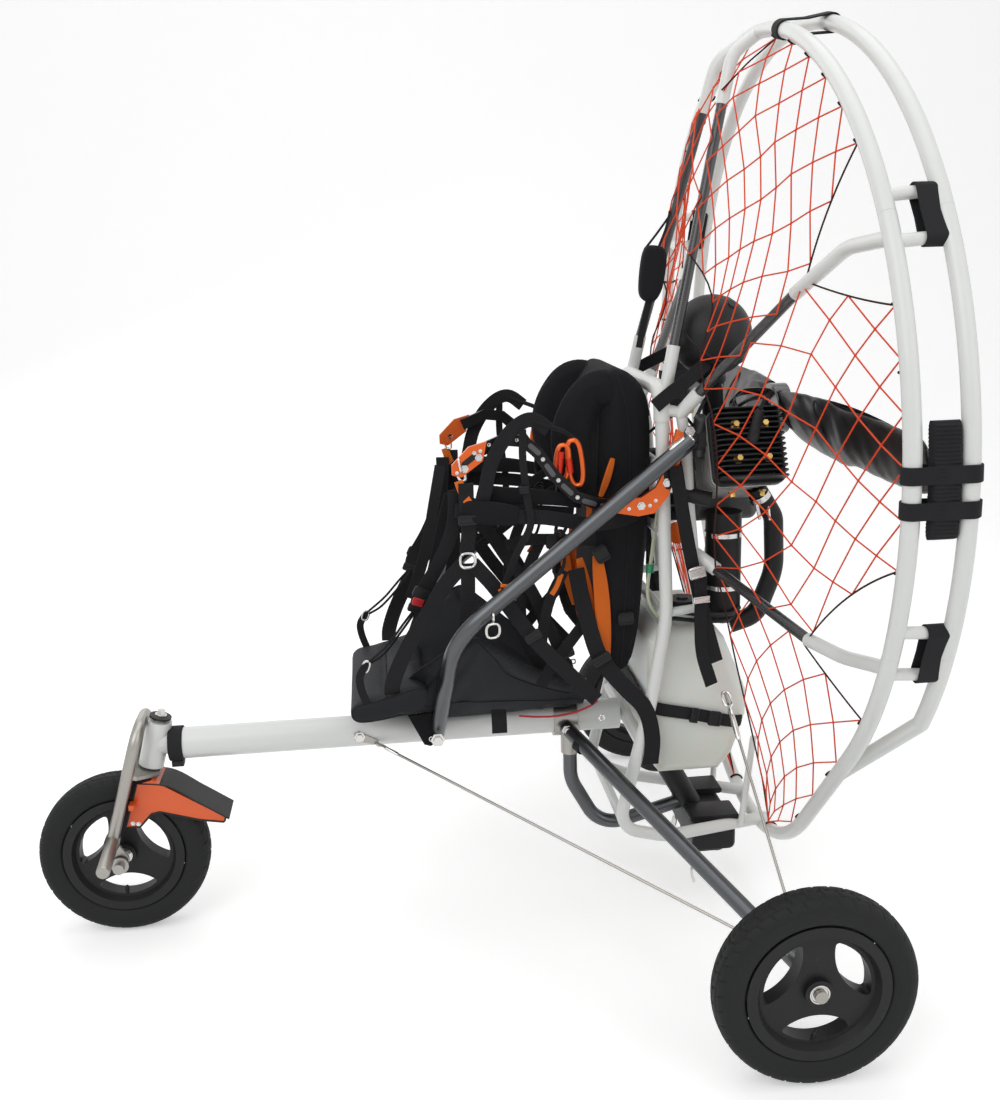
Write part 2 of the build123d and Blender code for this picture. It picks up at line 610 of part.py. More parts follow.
# Tank and harness
def tank():
    outline = [(-140, 545), (-140, 318), (-118, 288.3), (-6, 288.3), (20, 320), (45, 395), (45, 440), (2, 545),
               (-20, 572), (-118, 572)]
    body = sheet(outline, -TANK_HALF_WIDTH, TANK_HALF_WIDTH)
    body = fillet(body.edges().filter_by(GeomType.LINE).filter_by(Axis.Y, reverse=True), 22)
    body += rod((-62, -60, 565), (-62, -60, 596), 27)
    add("fuel_tank", body)


def soft_goods():
    outline = [(-668, 580), (-590, 596), (-300, 520), (-240, 470), (-240, 385), (-650, 385), (-668, 480)]
    pan = sheet(outline, -SEAT_HALF_WIDTH, SEAT_HALF_WIDTH)
    hull = [(-34, 384), (34, 384), (160, 560), (SEAT_HALF_WIDTH, 600), (-SEAT_HALF_WIDTH, 600), (-160, 560)]
    pan = pan & extrude(Plane.YZ.offset(-700) * make_face(Polyline(*hull, close=True)), 500)
    clear = MAIN_TUBE_RADIUS + SEAT_GAP
    pan -= rod((-900, 0, MAIN_TUBE_Z), (0, 0, MAIN_TUBE_Z), clear)
    pan -= rod((COLLAR_FRONT - SEAT_GAP, 0, MAIN_TUBE_Z), (0, 0, MAIN_TUBE_Z), clear + COLLAR_WALL)
    board = pan & block((72, 400, 300), (-632 - SEAT_GAP, 0, 480))
    rest = pan & block((400, 400, 300), (-596 + 200, 0, 480))
    add("seat_board", board)
    add("seat_pan", rest)

    front_face = CROSS_X - CROSS_RADIUS - SEAT_GAP
    back = [(-228, 962), (-218, 1030), (-205, 1046), (-168, 1030), (front_face, 960), (front_face, 640),
            (-168, 490), (-228, 500)]
    add("backrest", sheet(back, -BACK_HALF_WIDTH, BACK_HALF_WIDTH))
    pad = [(-300, 930), (-278, 1040), (-238, 1058), (-228.3, 1030), (-228.3, 520), (-262, 545), (-290, 640)]
    pads = sheet(pad, 38, BACK_HALF_WIDTH - 4)
    add("shoulder_pads", pads, left(pads))


def comfort_arms():
    """Curved flat bar with a slotted plate at each end, beside each of the pilot's shoulders."""
    centre = [(-168, 806), (-235, 812), (-275, 828), (-312, 866), (-338, 905), (-362, 926), (-395, 930),
              (-440, 912)]
    half = 10
    upper, lower = [], []
    for i, (x, z) in enumerate(centre):
        before, after = centre[max(i - 1, 0)], centre[min(i + 1, len(centre) - 1)]
        dx, dz = after[0] - before[0], after[1] - before[1]
        size = math.hypot(dx, dz)
        upper.append((x - dz / size * half, z + dx / size * half))
        lower.append((x + dz / size * half, z - dx / size * half))
    inner = COMFORT_Y - COMFORT_THICKNESS
    bar = sheet(upper + lower[::-1], inner, COMFORT_Y)
    root = [(-104, 936), (-92, 930), (-100, 870), (-118, 822), (-142, 794), (-170, 790), (-210, 798),
            (-210, 820), (-165, 822), (-140, 838), (-122, 870)]
    root = sheet(root, COMFORT_Y + SEAT_GAP, COMFORT_Y + SEAT_GAP + PLATE_THICKNESS)
    for x, z in ((UPRIGHT_X + 3, 846), (UPRIGHT_X + 7, 880)):
        root += rod((x, FRAME_HALF_WIDTH, z), (x, COMFORT_Y + 1, z), 6)
    tip = [(-425, 930), (-455, 922), (-484, 893), (-484, 876), (-468, 872), (-432, 898)]
    tip = sheet(tip, COMFORT_Y + SEAT_GAP, COMFORT_Y + SEAT_GAP + PLATE_THICKNESS)
    tip -= rod((HANG_X, 0, HANG_Z - 8), (HANG_X, 300, HANG_Z - 8), HANG_RADIUS)
    return bar, root, tip


def main():
    steering()
    wheels()
    arms()
    cage()
    chassis()
    add("base_bracket", base_bracket())
    upper = rod(in_place(CAP_TOP), (-98, 127, 1071), ROD_RADIUS)
    side_upper = rod(in_place(CAP_UPPER), (-66, 174, 996), ROD_RADIUS)
    side_lower = rod(in_place(CAP_LOWER), (-34, 180, 690), ROD_RADIUS)
    for name, piece in (("upper_rods", upper), ("side_rods_upper", side_upper), ("side_rods_lower", side_lower)):
        piece = seated(piece, NODES["frame_hoop"], NODES["rear_uprights"], NODES["cage_top"], NODES["cage_right"],
                       NODES["cage_bottom"])
        add(name, piece, left(piece))
    add("cage_pads", cage_pad(), left(cage_pad()))
    bar = side_bar()
    add("side_bar_right", bar)
    add("side_bar_left", left(bar))
    stays()
    engine()
    propeller()
    tank()
    soft_goods()
    arm, root, tip = comfort_arms()
    add("comfort_arms", arm, left(arm))
    root = seated(root, NODES["side_bar_right"], NODES["frame_hoop"], NODES["frame_right"])
    add("arm_plates", root, left(root), tip, left(tip))
    os.makedirs("parts", exist_ok=True)
    for name, shape in NODES.items():
        export_step(Pos(FRAME_SHIFT, 0, 0) * shape, "parts/" + name + ".step")


main()
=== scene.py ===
"""Looks of the paramotor trike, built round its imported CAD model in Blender 4.5.

Places are written in millimetres from the rear axle line on the ground, as in the part's source: X to
the rear, Y to the pilot's right and Z up. The function at() turns them into metres of the frame.
"""

import json
import math

import bmesh
import bpy
import numpy as np
from bpy.props import FloatProperty, FloatVectorProperty, IntProperty, PointerProperty
from mathutils import Matrix


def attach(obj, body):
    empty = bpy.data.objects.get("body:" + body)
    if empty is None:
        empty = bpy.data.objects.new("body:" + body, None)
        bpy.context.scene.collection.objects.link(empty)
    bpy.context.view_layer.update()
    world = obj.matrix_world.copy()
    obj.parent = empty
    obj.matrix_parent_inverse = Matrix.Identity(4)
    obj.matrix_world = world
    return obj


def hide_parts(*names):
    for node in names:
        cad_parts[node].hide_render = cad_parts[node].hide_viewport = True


bl_info = {
    "name": "Paramotor trike looks",
    "version": (1, 0, 0),
    "blender": (4, 5, 0),
    "location": "View3D > Sidebar > Trike",
    "description": "Finishes, soft goods, netting and small fittings of a paramotor trike",
    "category": "Object",
}

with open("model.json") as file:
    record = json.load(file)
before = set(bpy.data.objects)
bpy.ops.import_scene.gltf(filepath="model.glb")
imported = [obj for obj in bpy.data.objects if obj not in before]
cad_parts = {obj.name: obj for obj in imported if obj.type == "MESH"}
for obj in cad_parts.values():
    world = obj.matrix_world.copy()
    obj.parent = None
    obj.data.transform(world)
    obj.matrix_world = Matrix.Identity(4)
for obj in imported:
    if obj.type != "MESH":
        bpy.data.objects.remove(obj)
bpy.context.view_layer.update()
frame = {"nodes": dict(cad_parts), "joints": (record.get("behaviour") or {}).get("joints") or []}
JOINT = {joint["name"]: joint for joint in frame["joints"]}
ORIGIN = np.array([JOINT["left_wheel_spin"]["pos_m"][0], 0.0, 0.0])

# Camera, fitted to the wheels and hoops of the photograph
CAMERA_PLACE = (-608.8, -2132.75, 1238.9)
CAMERA_YAW = 5.8516
CAMERA_PITCH = 14.0979
CAMERA_ROLL = -1.7113
CAMERA_FOCAL_PIXELS = 1200.65
PHOTO_WIDTH = 1000
SENSOR = 36.0

# Wheels
WHEELBASE = 1117
HALF_TRACK = 608
TYRE_RADIUS = 157
TYRE_HALF_WIDTH = 28.5
RIM_RADIUS = 111
BEAD_HALF_WIDTH = 21.4
BEAD_TURN = math.radians(28)
WIDEST_RADIUS = 134.0
HUB_HALF_WIDTH = 22.6
TREAD_DEPTH = 2.6
TREAD_BLOCKS = 38

# Cage
HOOP_X = 83.5
HOOP_Z = 916.4
HOOP_LEAN = math.radians(1.2)
HOOP_RADIUS = 663
REAR_HOOP_RADIUS = 671
HOOP_GAP = 76
HOOP_TUBE = 12.5
TANGENT_TURN = math.radians(134)
BOTTOM_RADIUS = 396
RUNG_RADIUS = 9

# Chassis, engine and propeller
MAIN_TUBE_Z = 365
ARM_Y = 166
ENGINE_X = 12
ENGINE_Z = 820
HEAD_SIN = math.sin(math.radians(24))
HEAD_COS = math.cos(math.radians(24))
PROP_X = 128
PROP_Z = 940
PROP_RADIUS = 612
GUARD_HALF_WIDTH = 38
HEAD_TOP_X = -1031
HEAD_TOP_Z = 412
SEAT_HALF_WIDTH = 181.0
BAR_CLEARANCE = 22


# Places and paths
def at(points):
    """Millimetres from the rear axle turned into metres of the frame."""
    return np.asarray(points, float) * 0.001 + ORIGIN


def unit(vectors):
    """Vectors divided by their own lengths."""
    vectors = np.asarray(vectors, float)
    return vectors / np.maximum(np.linalg.norm(vectors, axis=-1, keepdims=True), 1e-12)


def smooth(points, count, closed=False):
    """Catmull-Rom curve through the points, spread by distance.

    On each run the curve is the cubic with end points p1 and p2 and end slopes (p2 - p0) / 2 and
    (p3 - p1) / 2; the samples are then spread evenly along its length."""
    p = np.asarray(points, float)
    if closed:
        p = np.vstack([p[-1], p, p[0], p[1]])
    else:
        p = np.vstack([2 * p[0] - p[1], p, 2 * p[-1] - p[-2]])
    t = np.linspace(0, 1, 24, endpoint=False)[:, None, None]
    p0, p1, p2, p3 = p[:-3], p[1:-2], p[2:-1], p[3:]
    run = (p1 * (2 * t**3 - 3 * t**2 + 1) + (p2 - p0) / 2 * (t**3 - 2 * t**2 + t)
           + p2 * (3 * t**2 - 2 * t**3) + (p3 - p1) / 2 * (t**3 - t**2))
    line = np.vstack([run.transpose(1, 0, 2).reshape(-1, 3), p[-2]])
    return spread(line, count)


def spread(line, count):
    """The same polyline with a number of samples at equal distances along it."""
    line = np.asarray(line, float)
    gone = travelled(line)
    wanted = np.linspace(0, gone[-1], count)
    return np.stack([np.interp(wanted, gone, line[:, k]) for k in range(3)], 1)


def travelled(line):
    """Distance gone along a polyline at each of its points."""
    return np.concatenate([[0], np.cumsum(np.linalg.norm(np.diff(line, axis=0), axis=1))])


def hoop_point(radius, degrees, back=0.0):
    """Points of the hoops: angle from the top towards the pilot's right, in the leaning plane."""
    turn = np.radians(np.asarray(degrees, float))
    up, side = radius * np.cos(turn), radius * np.sin(turn)
    return np.stack([HOOP_X - up * math.sin(HOOP_LEAN) + back * math.cos(HOOP_LEAN), side,
                     HOOP_Z + up * math.cos(HOOP_LEAN) + back * math.sin(HOOP_LEAN)], -1)


def front_hoop(degrees):
    """Points of the front hoop's centre line, round, straight and round again at the very bottom.

    The angle is counted on the large circle down to the tangent, and past it as a share of the
    straight and bottom rounds, so 180 is the lowest point."""
    a = np.asarray(degrees, float)
    sign, size = np.where(a < 0, -1, 1), np.abs(a)
    limit = math.degrees(TANGENT_TURN)
    centre_up = (BOTTOM_RADIUS - HOOP_RADIUS) / -math.cos(TANGENT_TURN)
    corner = np.array([BOTTOM_RADIUS * math.sin(TANGENT_TURN),
                       centre_up + BOTTOM_RADIUS * math.cos(TANGENT_TURN)])
    end = np.array([HOOP_RADIUS * math.sin(TANGENT_TURN), HOOP_RADIUS * math.cos(TANGENT_TURN)])
    straight = np.linalg.norm(corner - end)
    whole = straight + BOTTOM_RADIUS * (math.pi - TANGENT_TURN)
    gone = np.clip((size - limit) / (180 - limit), 0, 1) * whole
    turn = np.radians(np.minimum(size, limit))
    side, up = HOOP_RADIUS * np.sin(turn), HOOP_RADIUS * np.cos(turn)
    share = np.clip(gone / straight, 0, 1)
    on_line = size > limit
    side = np.where(on_line, end[0] + (corner[0] - end[0]) * share, side)
    up = np.where(on_line, end[1] + (corner[1] - end[1]) * share, up)
    low = TANGENT_TURN + np.maximum(gone - straight, 0) / BOTTOM_RADIUS
    side = np.where(gone > straight, BOTTOM_RADIUS * np.sin(low), side)
    up = np.where(gone > straight, centre_up + BOTTOM_RADIUS * np.cos(low), up)
    return np.stack([HOOP_X - up * math.sin(HOOP_LEAN), side * sign, HOOP_Z + up * math.cos(HOOP_LEAN)], -1)


# Shapes: a shape is its points, its quads, its triangles and a flat place for each point
def shape(points, quads, tris, flat=None):
    points = np.asarray(points, float).reshape(-1, 3)
    quads = np.asarray(quads, int).reshape(-1, 4)
    tris = np.asarray(tris, int).reshape(-1, 3)
    flat = np.zeros((len(points), 2)) if flat is None else np.asarray(flat, float).reshape(-1, 2)
    return points, quads, tris, flat


def joined(shapes):
    """Several shapes as one."""
    starts = np.cumsum([0] + [len(s[0]) for s in shapes[:-1]])
    return (np.vstack([s[0] for s in shapes]), np.vstack([s[1] + k for s, k in zip(shapes, starts)]),
            np.vstack([s[2] + k for s, k in zip(shapes, starts)]), np.vstack([s[3] for s in shapes]))


def mirrored(one):
    """A shape on the pilot's other side, with its faces turned to point outwards again."""
    points, quads, tris, flat = one
    return points * (1, -1, 1), quads[:, ::-1], tris[:, ::-1], flat


def both_sides(one):
    """A shape, or a list of shapes, and its mirror image."""
    one = joined(one) if isinstance(one, list) else one
    return joined([one, mirrored(one)])


def grid(points, wrap_rows=False, wrap_columns=False, flat=None):
    """Surface through a grid of points, row by row, closed on itself where it wraps."""
    points = np.asarray(points, float)
    rows, columns = points.shape[:2]
    r, c = np.meshgrid(np.arange(rows if wrap_rows else rows - 1),
                       np.arange(columns if wrap_columns else columns - 1), indexing="ij")
    next_r, next_c = (r + 1) % rows, (c + 1) % columns
    quads = np.stack([r * columns + c, r * columns + next_c, next_r * columns + next_c,
                      next_r * columns + c], -1)
    if flat is None:
        v, u = np.meshgrid(np.linspace(0, 1, rows), np.linspace(0, 1, columns), indexing="ij")
        flat = np.stack([u, v], -1)
    return shape(points, quads, (), flat)


def sweep(path, profile, facing=None, scale=None):
    """Closed profile carried along a path.

    At each sample the profile's first axis is the part of the facing vector square to the path, and its
    second axis is the path's direction crossed with the first; scale enlarges it there."""
    path, profile = np.asarray(path, float), np.asarray(profile, float)
    along = unit(np.gradient(path, axis=0))
    if facing is None:
        facing = np.linalg.svd(path - path.mean(0))[2][-1]
    facing = np.broadcast_to(np.asarray(facing, float), path.shape)
    first = unit(facing - (facing * along).sum(1, keepdims=True) * along)
    second = np.cross(along, first)
    size = np.ones(len(path)) if scale is None else np.asarray(scale, float)
    offset = (first[:, None] * profile[None, :, :1] + second[:, None] * profile[None, :, 1:]) * size[:,
                                                                                                     None,
                                                                                                     None]
    flat = np.stack(np.broadcast_arrays(travelled(profile)[None, :], travelled(path)[:, None]), -1)
    return capped(path[:, None] + offset, path[[0, -1]], flat)


def full_turn(sides):
    """Angles of a full turn at equal steps."""
    return np.arange(sides) * 2 * math.pi / sides


def circle(radius, sides):
    """Regular outline about the origin."""
    turn = full_turn(sides)
    return radius * np.stack([np.cos(turn), np.sin(turn)], 1)


def band(width, thickness):
    """Outline of a flat strap: its first axis is the thickness and its second the width."""
    w, t = width / 2, thickness / 2
    bevel = t * 0.8
    return np.array([(t, -w + bevel), (t, 0), (t, w - bevel), (0, w), (-t, w - bevel), (-t, 0),
                     (-t, -w + bevel), (0, -w)])


def rope(points, radius, count, sides=8):
    """Round cord or tube through the points."""
    return sweep(smooth(points, count), circle(radius, sides))


def strap(points, width, facing, thickness=2.0):
    """Flat webbing through the points; facing is square to its broad side."""
    return sweep(smooth(points, 8 * (len(points) - 1)), band(width, thickness), facing)


def turned(profile, centre, axis, sides):
    """Profile of (distance along the axis, radius) turned about an axis through a centre."""
    axis = unit(axis)
    helper = np.array([0.0, 0.0, 1.0]) if abs(axis[2]) < 0.9 else np.array([1.0, 0.0, 0.0])
    first = unit(np.cross(axis, helper))
    second = np.cross(axis, first)
    turn = full_turn(sides)
    profile = np.asarray(profile, float)
    ring = np.cos(turn)[:, None] * first + np.sin(turn)[:, None] * second
    points = (np.asarray(centre, float) + profile[:, None, :1] * axis + profile[:, None, 1:] * ring[None])
    return grid(points, wrap_columns=True)


def closed_turn(profile, centre, axis, sides):
    """Turned profile whose two ends close on the axis."""
    return turned([(profile[0][0], 0.01), *profile, (profile[-1][0], 0.01)], centre, axis, sides)


def plug(radius, height, centre, axis, sides):
    """Plain closed cylinder that stands on its centre."""
    return closed_turn([(0, radius), (height, radius)], centre, axis, sides)


def squared(values, power):
    """Values from -1 to 1 raised to a power with their signs kept, which squares up a round outline."""
    return np.sign(values) * np.abs(values) ** power


def bolt(centre, axis, radius, height):
    """Six-sided bolt head with its washer, standing on a surface."""
    washer, low = radius * 1.5, height * 0.25
    return turned([(0, washer), (low, washer), (low, radius), (height, radius * 0.92), (height, 0.01)],
                  centre, axis, 6)


def slab(outline, thickness, centre, first, second, bevel):
    """Plate of a closed outline with softened edges.

    The outline is in the plane of the vectors first and second; the rim is two rings drawn in by the
    bevel and the broad faces are fans to the outline's middle."""
    outline = np.asarray(outline, float)
    first, second = unit(first), unit(second)
    normal = np.cross(first, second)
    middle = outline.mean(0)
    shrink = 1 - bevel / np.maximum(np.linalg.norm(outline - middle, axis=1, keepdims=True), bevel * 1.01)
    inner = middle + (outline - middle) * shrink
    half = thickness / 2
    rings = [(inner, -half), (outline, bevel - half), (outline, half - bevel), (inner, half)]
    centre = np.asarray(centre, float)
    points = np.stack([centre + o[:, :1] * first + o[:, 1:] * second + h * normal for o, h in rings])
    body = grid(points, wrap_columns=True)
    n = len(outline)
    ends = np.stack([centre + middle[0] * first + middle[1] * second + h * normal for h in (-half, half)])
    k = np.arange(n)
    low = np.stack([np.full(n, 4 * n), (k + 1) % n, k], 1)
    high = np.stack([np.full(n, 4 * n + 1), 3 * n + k, 3 * n + (k + 1) % n], 1)
    return shape(np.vstack([body[0], ends]), body[1], np.vstack([low, high]), np.zeros((4 * n + 2, 2)))


def rounded(width, height, radius):
    """Outline of a rectangle with round corners."""
    turn = np.linspace(0, math.pi / 2, 5)
    corners = []
    for k, (sx, sy) in enumerate(((1, 1), (-1, 1), (-1, -1), (1, -1))):
        middle = np.array([sx * (width / 2 - radius), sy * (height / 2 - radius)])
        spun = turn + k * math.pi / 2
        corners.append(middle + radius * np.stack([np.cos(spun), np.sin(spun)], 1))
    return np.vstack(corners)


def piece(name, made, finish, body="root", soft_edges=30, mended=True):
    """A shape in millimetres becomes an object with a named finish that rides on a CAD body."""
    points, quads, tris, flat = made
    mesh = bpy.data.meshes.new(name)
    loops = np.concatenate([quads.ravel(), tris.ravel()])
    totals = np.concatenate([np.full(len(quads), 4), np.full(len(tris), 3)])
    starts = np.concatenate([[0], np.cumsum(totals)[:-1]])
    mesh.vertices.add(len(points))
    mesh.vertices.foreach_set("co", at(points).astype(np.float32).ravel())
    mesh.loops.add(len(loops))
    mesh.loops.foreach_set("vertex_index", loops.astype(np.int32))
    mesh.polygons.add(len(totals))
    mesh.polygons.foreach_set("loop_start", starts.astype(np.int32))
    mesh.polygons.foreach_set("use_smooth", np.ones(len(totals), bool))
    mesh.update(calc_edges=True)
    layer = mesh.uv_layers.new(name="UVMap")
    layer.data.foreach_set("uv", (flat[loops] * 0.001).astype(np.float32).ravel())
    if mended:
        outward(mesh)
    mesh.set_sharp_from_angle(angle=math.radians(soft_edges))
    obj = bpy.data.objects.new(name, mesh)
    bpy.context.scene.collection.objects.link(obj)
    mesh.materials.append(FINISH[finish])
    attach(obj, body)
    return obj


def outward(mesh):
    """Doubled points are merged, empty faces go and every face turns outwards."""
    made = bmesh.new()
    made.from_mesh(mesh)
    bmesh.ops.remove_doubles(made, verts=made.verts, dist=1e-6)
    bmesh.ops.dissolve_degenerate(made, edges=made.edges, dist=1e-7)
    bmesh.ops.recalc_face_normals(made, faces=made.faces)
    made.to_mesh(mesh)
    made.free()


# Finishes
def group(name, inputs, outputs):
    """Empty shader node group with its named sockets."""
    made = bpy.data.node_groups.new(name, "ShaderNodeTree")
    for label, value in inputs:
        made.interface.new_socket(label, in_out="INPUT", socket_type="NodeSocketFloat").default_value = value
    for label, kind in outputs:
        made.interface.new_socket(label, in_out="OUTPUT", socket_type=kind)
    return made, made.nodes.new("NodeGroupInput"), made.nodes.new("NodeGroupOutput")


def math_node(tree, operation, first, second=None):
    """Sum, product or other function of two values, each a socket or a number."""
    node = tree.nodes.new("ShaderNodeMath")
    node.operation = operation
    for k, value in enumerate((first, second)):
        if value is None:
            continue
        if isinstance(value, bpy.types.NodeSocket):
            tree.links.new(value, node.inputs[k])
        else:
            node.inputs[k].default_value = value
    return node.outputs[0]


def noise(tree, vector, scale, detail, roughness=0.55):
    node = tree.nodes.new("ShaderNodeTexNoise")
    tree.links.new(vector, node.inputs["Vector"])
    if isinstance(scale, bpy.types.NodeSocket):
        tree.links.new(scale, node.inputs["Scale"])
    else:
        node.inputs["Scale"].default_value = scale
    node.inputs["Detail"].default_value = detail
    node.inputs["Roughness"].default_value = roughness
    return node.outputs["Fac"]


def grain_group():
    """Fine grain for height, soft patches for colour and roughness, all on object coordinates."""
    made, given, out = group("Surface grain", [("Grain size", 900.0), ("Patch size", 14.0), ("Drag", 1.0)],
                             [("Height", "NodeSocketFloat"), ("Patches", "NodeSocketFloat"),
                              ("Scuffs", "NodeSocketFloat")])
    place = made.nodes.new("ShaderNodeTexCoord").outputs["Object"]
    stretch = made.nodes.new("ShaderNodeVectorMath")
    stretch.operation = "MULTIPLY"
    made.links.new(place, stretch.inputs[0])
    pull = made.nodes.new("ShaderNodeCombineXYZ")
    made.links.new(given.outputs["Drag"], pull.inputs["X"])
    pull.inputs["Y"].default_value = 1.0
    pull.inputs["Z"].default_value = 1.0
    made.links.new(pull.outputs[0], stretch.inputs[1])
    made.links.new(noise(made, stretch.outputs[0], given.outputs["Grain size"], 2.0), out.inputs["Height"])
    made.links.new(noise(made, place, given.outputs["Patch size"], 5.0, 0.6), out.inputs["Patches"])
    streak = noise(made, place, 55.0, 8.0, 0.7)
    spread_out = made.nodes.new("ShaderNodeMapRange")
    spread_out.inputs["From Min"].default_value = 0.62
    spread_out.inputs["From Max"].default_value = 0.72
    made.links.new(streak, spread_out.inputs["Value"])
    made.links.new(spread_out.outputs[0], out.inputs["Scuffs"])
    return made


def weave_group():
    """Over and under threads: the product of two crossed sine waves on object coordinates.

    The waves run along X + Z and X - Z, each with 0.9 of Y added, so no broad face lies along one."""
    made, given, out = group("Weave", [("Threads per metre", 900.0)],
                             [("Height", "NodeSocketFloat"), ("Threads", "NodeSocketFloat")])
    place = made.nodes.new("ShaderNodeSeparateXYZ")
    made.links.new(made.nodes.new("ShaderNodeTexCoord").outputs["Object"], place.inputs[0])
    turns = math_node(made, "MULTIPLY", given.outputs["Threads per metre"], 2 * math.pi)
    plus = math_node(made, "ADD", place.outputs["X"], place.outputs["Z"])
    minus = math_node(made, "SUBTRACT", place.outputs["X"], place.outputs["Z"])
    sideways = math_node(made, "MULTIPLY", place.outputs["Y"], 0.9)
    waves = []
    for line in (math_node(made, "ADD", plus, sideways), math_node(made, "ADD", minus, sideways)):
        waves.append(math_node(made, "SINE", math_node(made, "MULTIPLY", line, turns)))
    height = math_node(made, "MULTIPLY", *waves)
    made.links.new(height, out.inputs["Height"])
    made.links.new(math_node(made, "MULTIPLY_ADD", height, 0.5), out.inputs["Threads"])
    return made


def ribs_group():
    """Ribs of woven webbing along and across the piece's own flat map."""
    made, given, out = group("Webbing ribs", [("Ribs per metre", 420.0)],
                             [("Height", "NodeSocketFloat"), ("Threads", "NodeSocketFloat")])
    place = made.nodes.new("ShaderNodeSeparateXYZ")
    made.links.new(made.nodes.new("ShaderNodeTexCoord").outputs["UV"], place.inputs[0])
    turns = math_node(made, "MULTIPLY", given.outputs["Ribs per metre"], 2 * math.pi)
    across = math_node(made, "SINE", math_node(made, "MULTIPLY", place.outputs["Y"], turns))
    lengthwise = math_node(made, "SINE", math_node(made, "MULTIPLY", place.outputs["X"], turns))
    across = math_node(made, "MULTIPLY", across, 0.6)
    lengthwise = math_node(made, "MULTIPLY", lengthwise, 0.3)
    height = math_node(made, "ADD", across, lengthwise)
    made.links.new(height, out.inputs["Height"])
    made.links.new(math_node(made, "MULTIPLY_ADD", height, 0.5), out.inputs["Threads"])
    return made


class Finish:
    """A material with its shader, and the links that the finishes share."""

    def __init__(self, name):
        self.material = bpy.data.materials.new(name)
        self.material.use_nodes = True
        self.tree = self.material.node_tree
        self.tree.nodes.clear()
        self.shader = self.tree.nodes.new("ShaderNodeBsdfPrincipled")
        out = self.tree.nodes.new("ShaderNodeOutputMaterial")
        self.tree.links.new(self.shader.outputs[0], out.inputs["Surface"])

    def put(self, **values):
        """Plain numbers and colours on the shader's own sockets, with spaces for underscores."""
        for label, value in values.items():
            self.shader.inputs[label.replace("_", " ")].default_value = value
        return self

    def place(self, name, **values):
        node = self.tree.nodes.new("ShaderNodeGroup")
        node.node_tree = bpy.data.node_groups[name]
        for label, value in values.items():
            node.inputs[label.replace("_", " ")].default_value = value
        return node

    def mix(self, mask, first, second):
        """Colour between two colours, each a socket or four numbers."""
        node = self.tree.nodes.new("ShaderNodeMix")
        node.data_type = "RGBA"
        self.tree.links.new(mask, node.inputs["Factor"])
        for label, value in (("A", first), ("B", second)):
            socket = [s for s in node.inputs if s.name == label and s.type == "RGBA"][0]
            if isinstance(value, bpy.types.NodeSocket):
                self.tree.links.new(value, socket)
            else:
                socket.default_value = value
        return [s for s in node.outputs if s.type == "RGBA"][0]

    def ramp(self, value, low, high):
        """Value stretched between two numbers."""
        node = self.tree.nodes.new("ShaderNodeMapRange")
        node.inputs["To Min"].default_value = low
        node.inputs["To Max"].default_value = high
        self.tree.links.new(value, node.inputs["Value"])
        return node.outputs[0]

    def bump(self, height, strength, distance, below=None):
        node = self.tree.nodes.new("ShaderNodeBump")
        node.inputs["Strength"].default_value = strength
        node.inputs["Distance"].default_value = distance
        self.tree.links.new(height, node.inputs["Height"])
        if below is not None:
            self.tree.links.new(below, node.inputs["Normal"])
        return node.outputs[0]

    def link(self, socket, label):
        self.tree.links.new(socket, self.shader.inputs[label])
        return self


def rgba(colour, factor=1.0):
    return (*[min(1.0, channel * factor) for channel in colour], 1.0)


def coated(name, colour, rough, patch, bump, metallic=0.0, coat=0.0, drag=1.0, grain=900.0,
           scuff=0.0,
           scuff_colour=(0.35, 0.35, 0.34)):
    """Paint, anodising, moulded plastic or plain metal: one colour with soft patches, grain and scuffs."""
    made = Finish(name)
    made.put(Metallic=metallic, Coat_Weight=coat, Coat_Roughness=0.08)
    if max(colour) < 0.03 and not coat:
        made.put(Specular_IOR_Level=0.26)
    grain_node = made.place("Surface grain", Grain_size=grain, Drag=drag)
    tone = made.mix(grain_node.outputs["Patches"], rgba(colour, 1 - patch), rgba(colour, 1 + patch))
    if scuff:
        mask = made.ramp(grain_node.outputs["Scuffs"], 0.0, scuff)
        tone = made.mix(mask, tone, rgba(scuff_colour))
    made.link(tone, "Base Color")
    made.link(made.ramp(grain_node.outputs["Patches"], max(0.03, rough - 0.09), min(1.0, rough + 0.09)),
              "Roughness")
    made.link(made.bump(grain_node.outputs["Height"], bump, 0.0006), "Normal")
    return made.material


def woven(name, colour, light, pattern="Weave", threads=900.0, rough=0.8, bump=0.35):
    """Cloth or webbing: threads in two tones with a soft sheen and faded patches."""
    made = Finish(name)
    made.put(Sheen_Weight=0.015, Sheen_Roughness=0.5, Specular_IOR_Level=0.16)
    label = "Threads_per_metre" if pattern == "Weave" else "Ribs_per_metre"
    threads_node = made.place(pattern, **{label: threads})
    worn = made.place("Surface grain", Grain_size=300.0, Patch_size=9.0)
    tone = made.mix(made.ramp(threads_node.outputs["Threads"], 0.0, 1.0), rgba(colour), rgba(light))
    tone = made.mix(made.ramp(worn.outputs["Patches"], 0.0, 0.5), tone, rgba(light))
    made.link(tone, "Base Color")
    made.link(made.ramp(worn.outputs["Patches"], rough - 0.1, min(1.0, rough + 0.1)), "Roughness")
    creased = made.bump(worn.outputs["Patches"], 0.25, 0.004)
    made.link(made.bump(threads_node.outputs["Height"], bump, 0.0005, creased), "Normal")
    return made.material


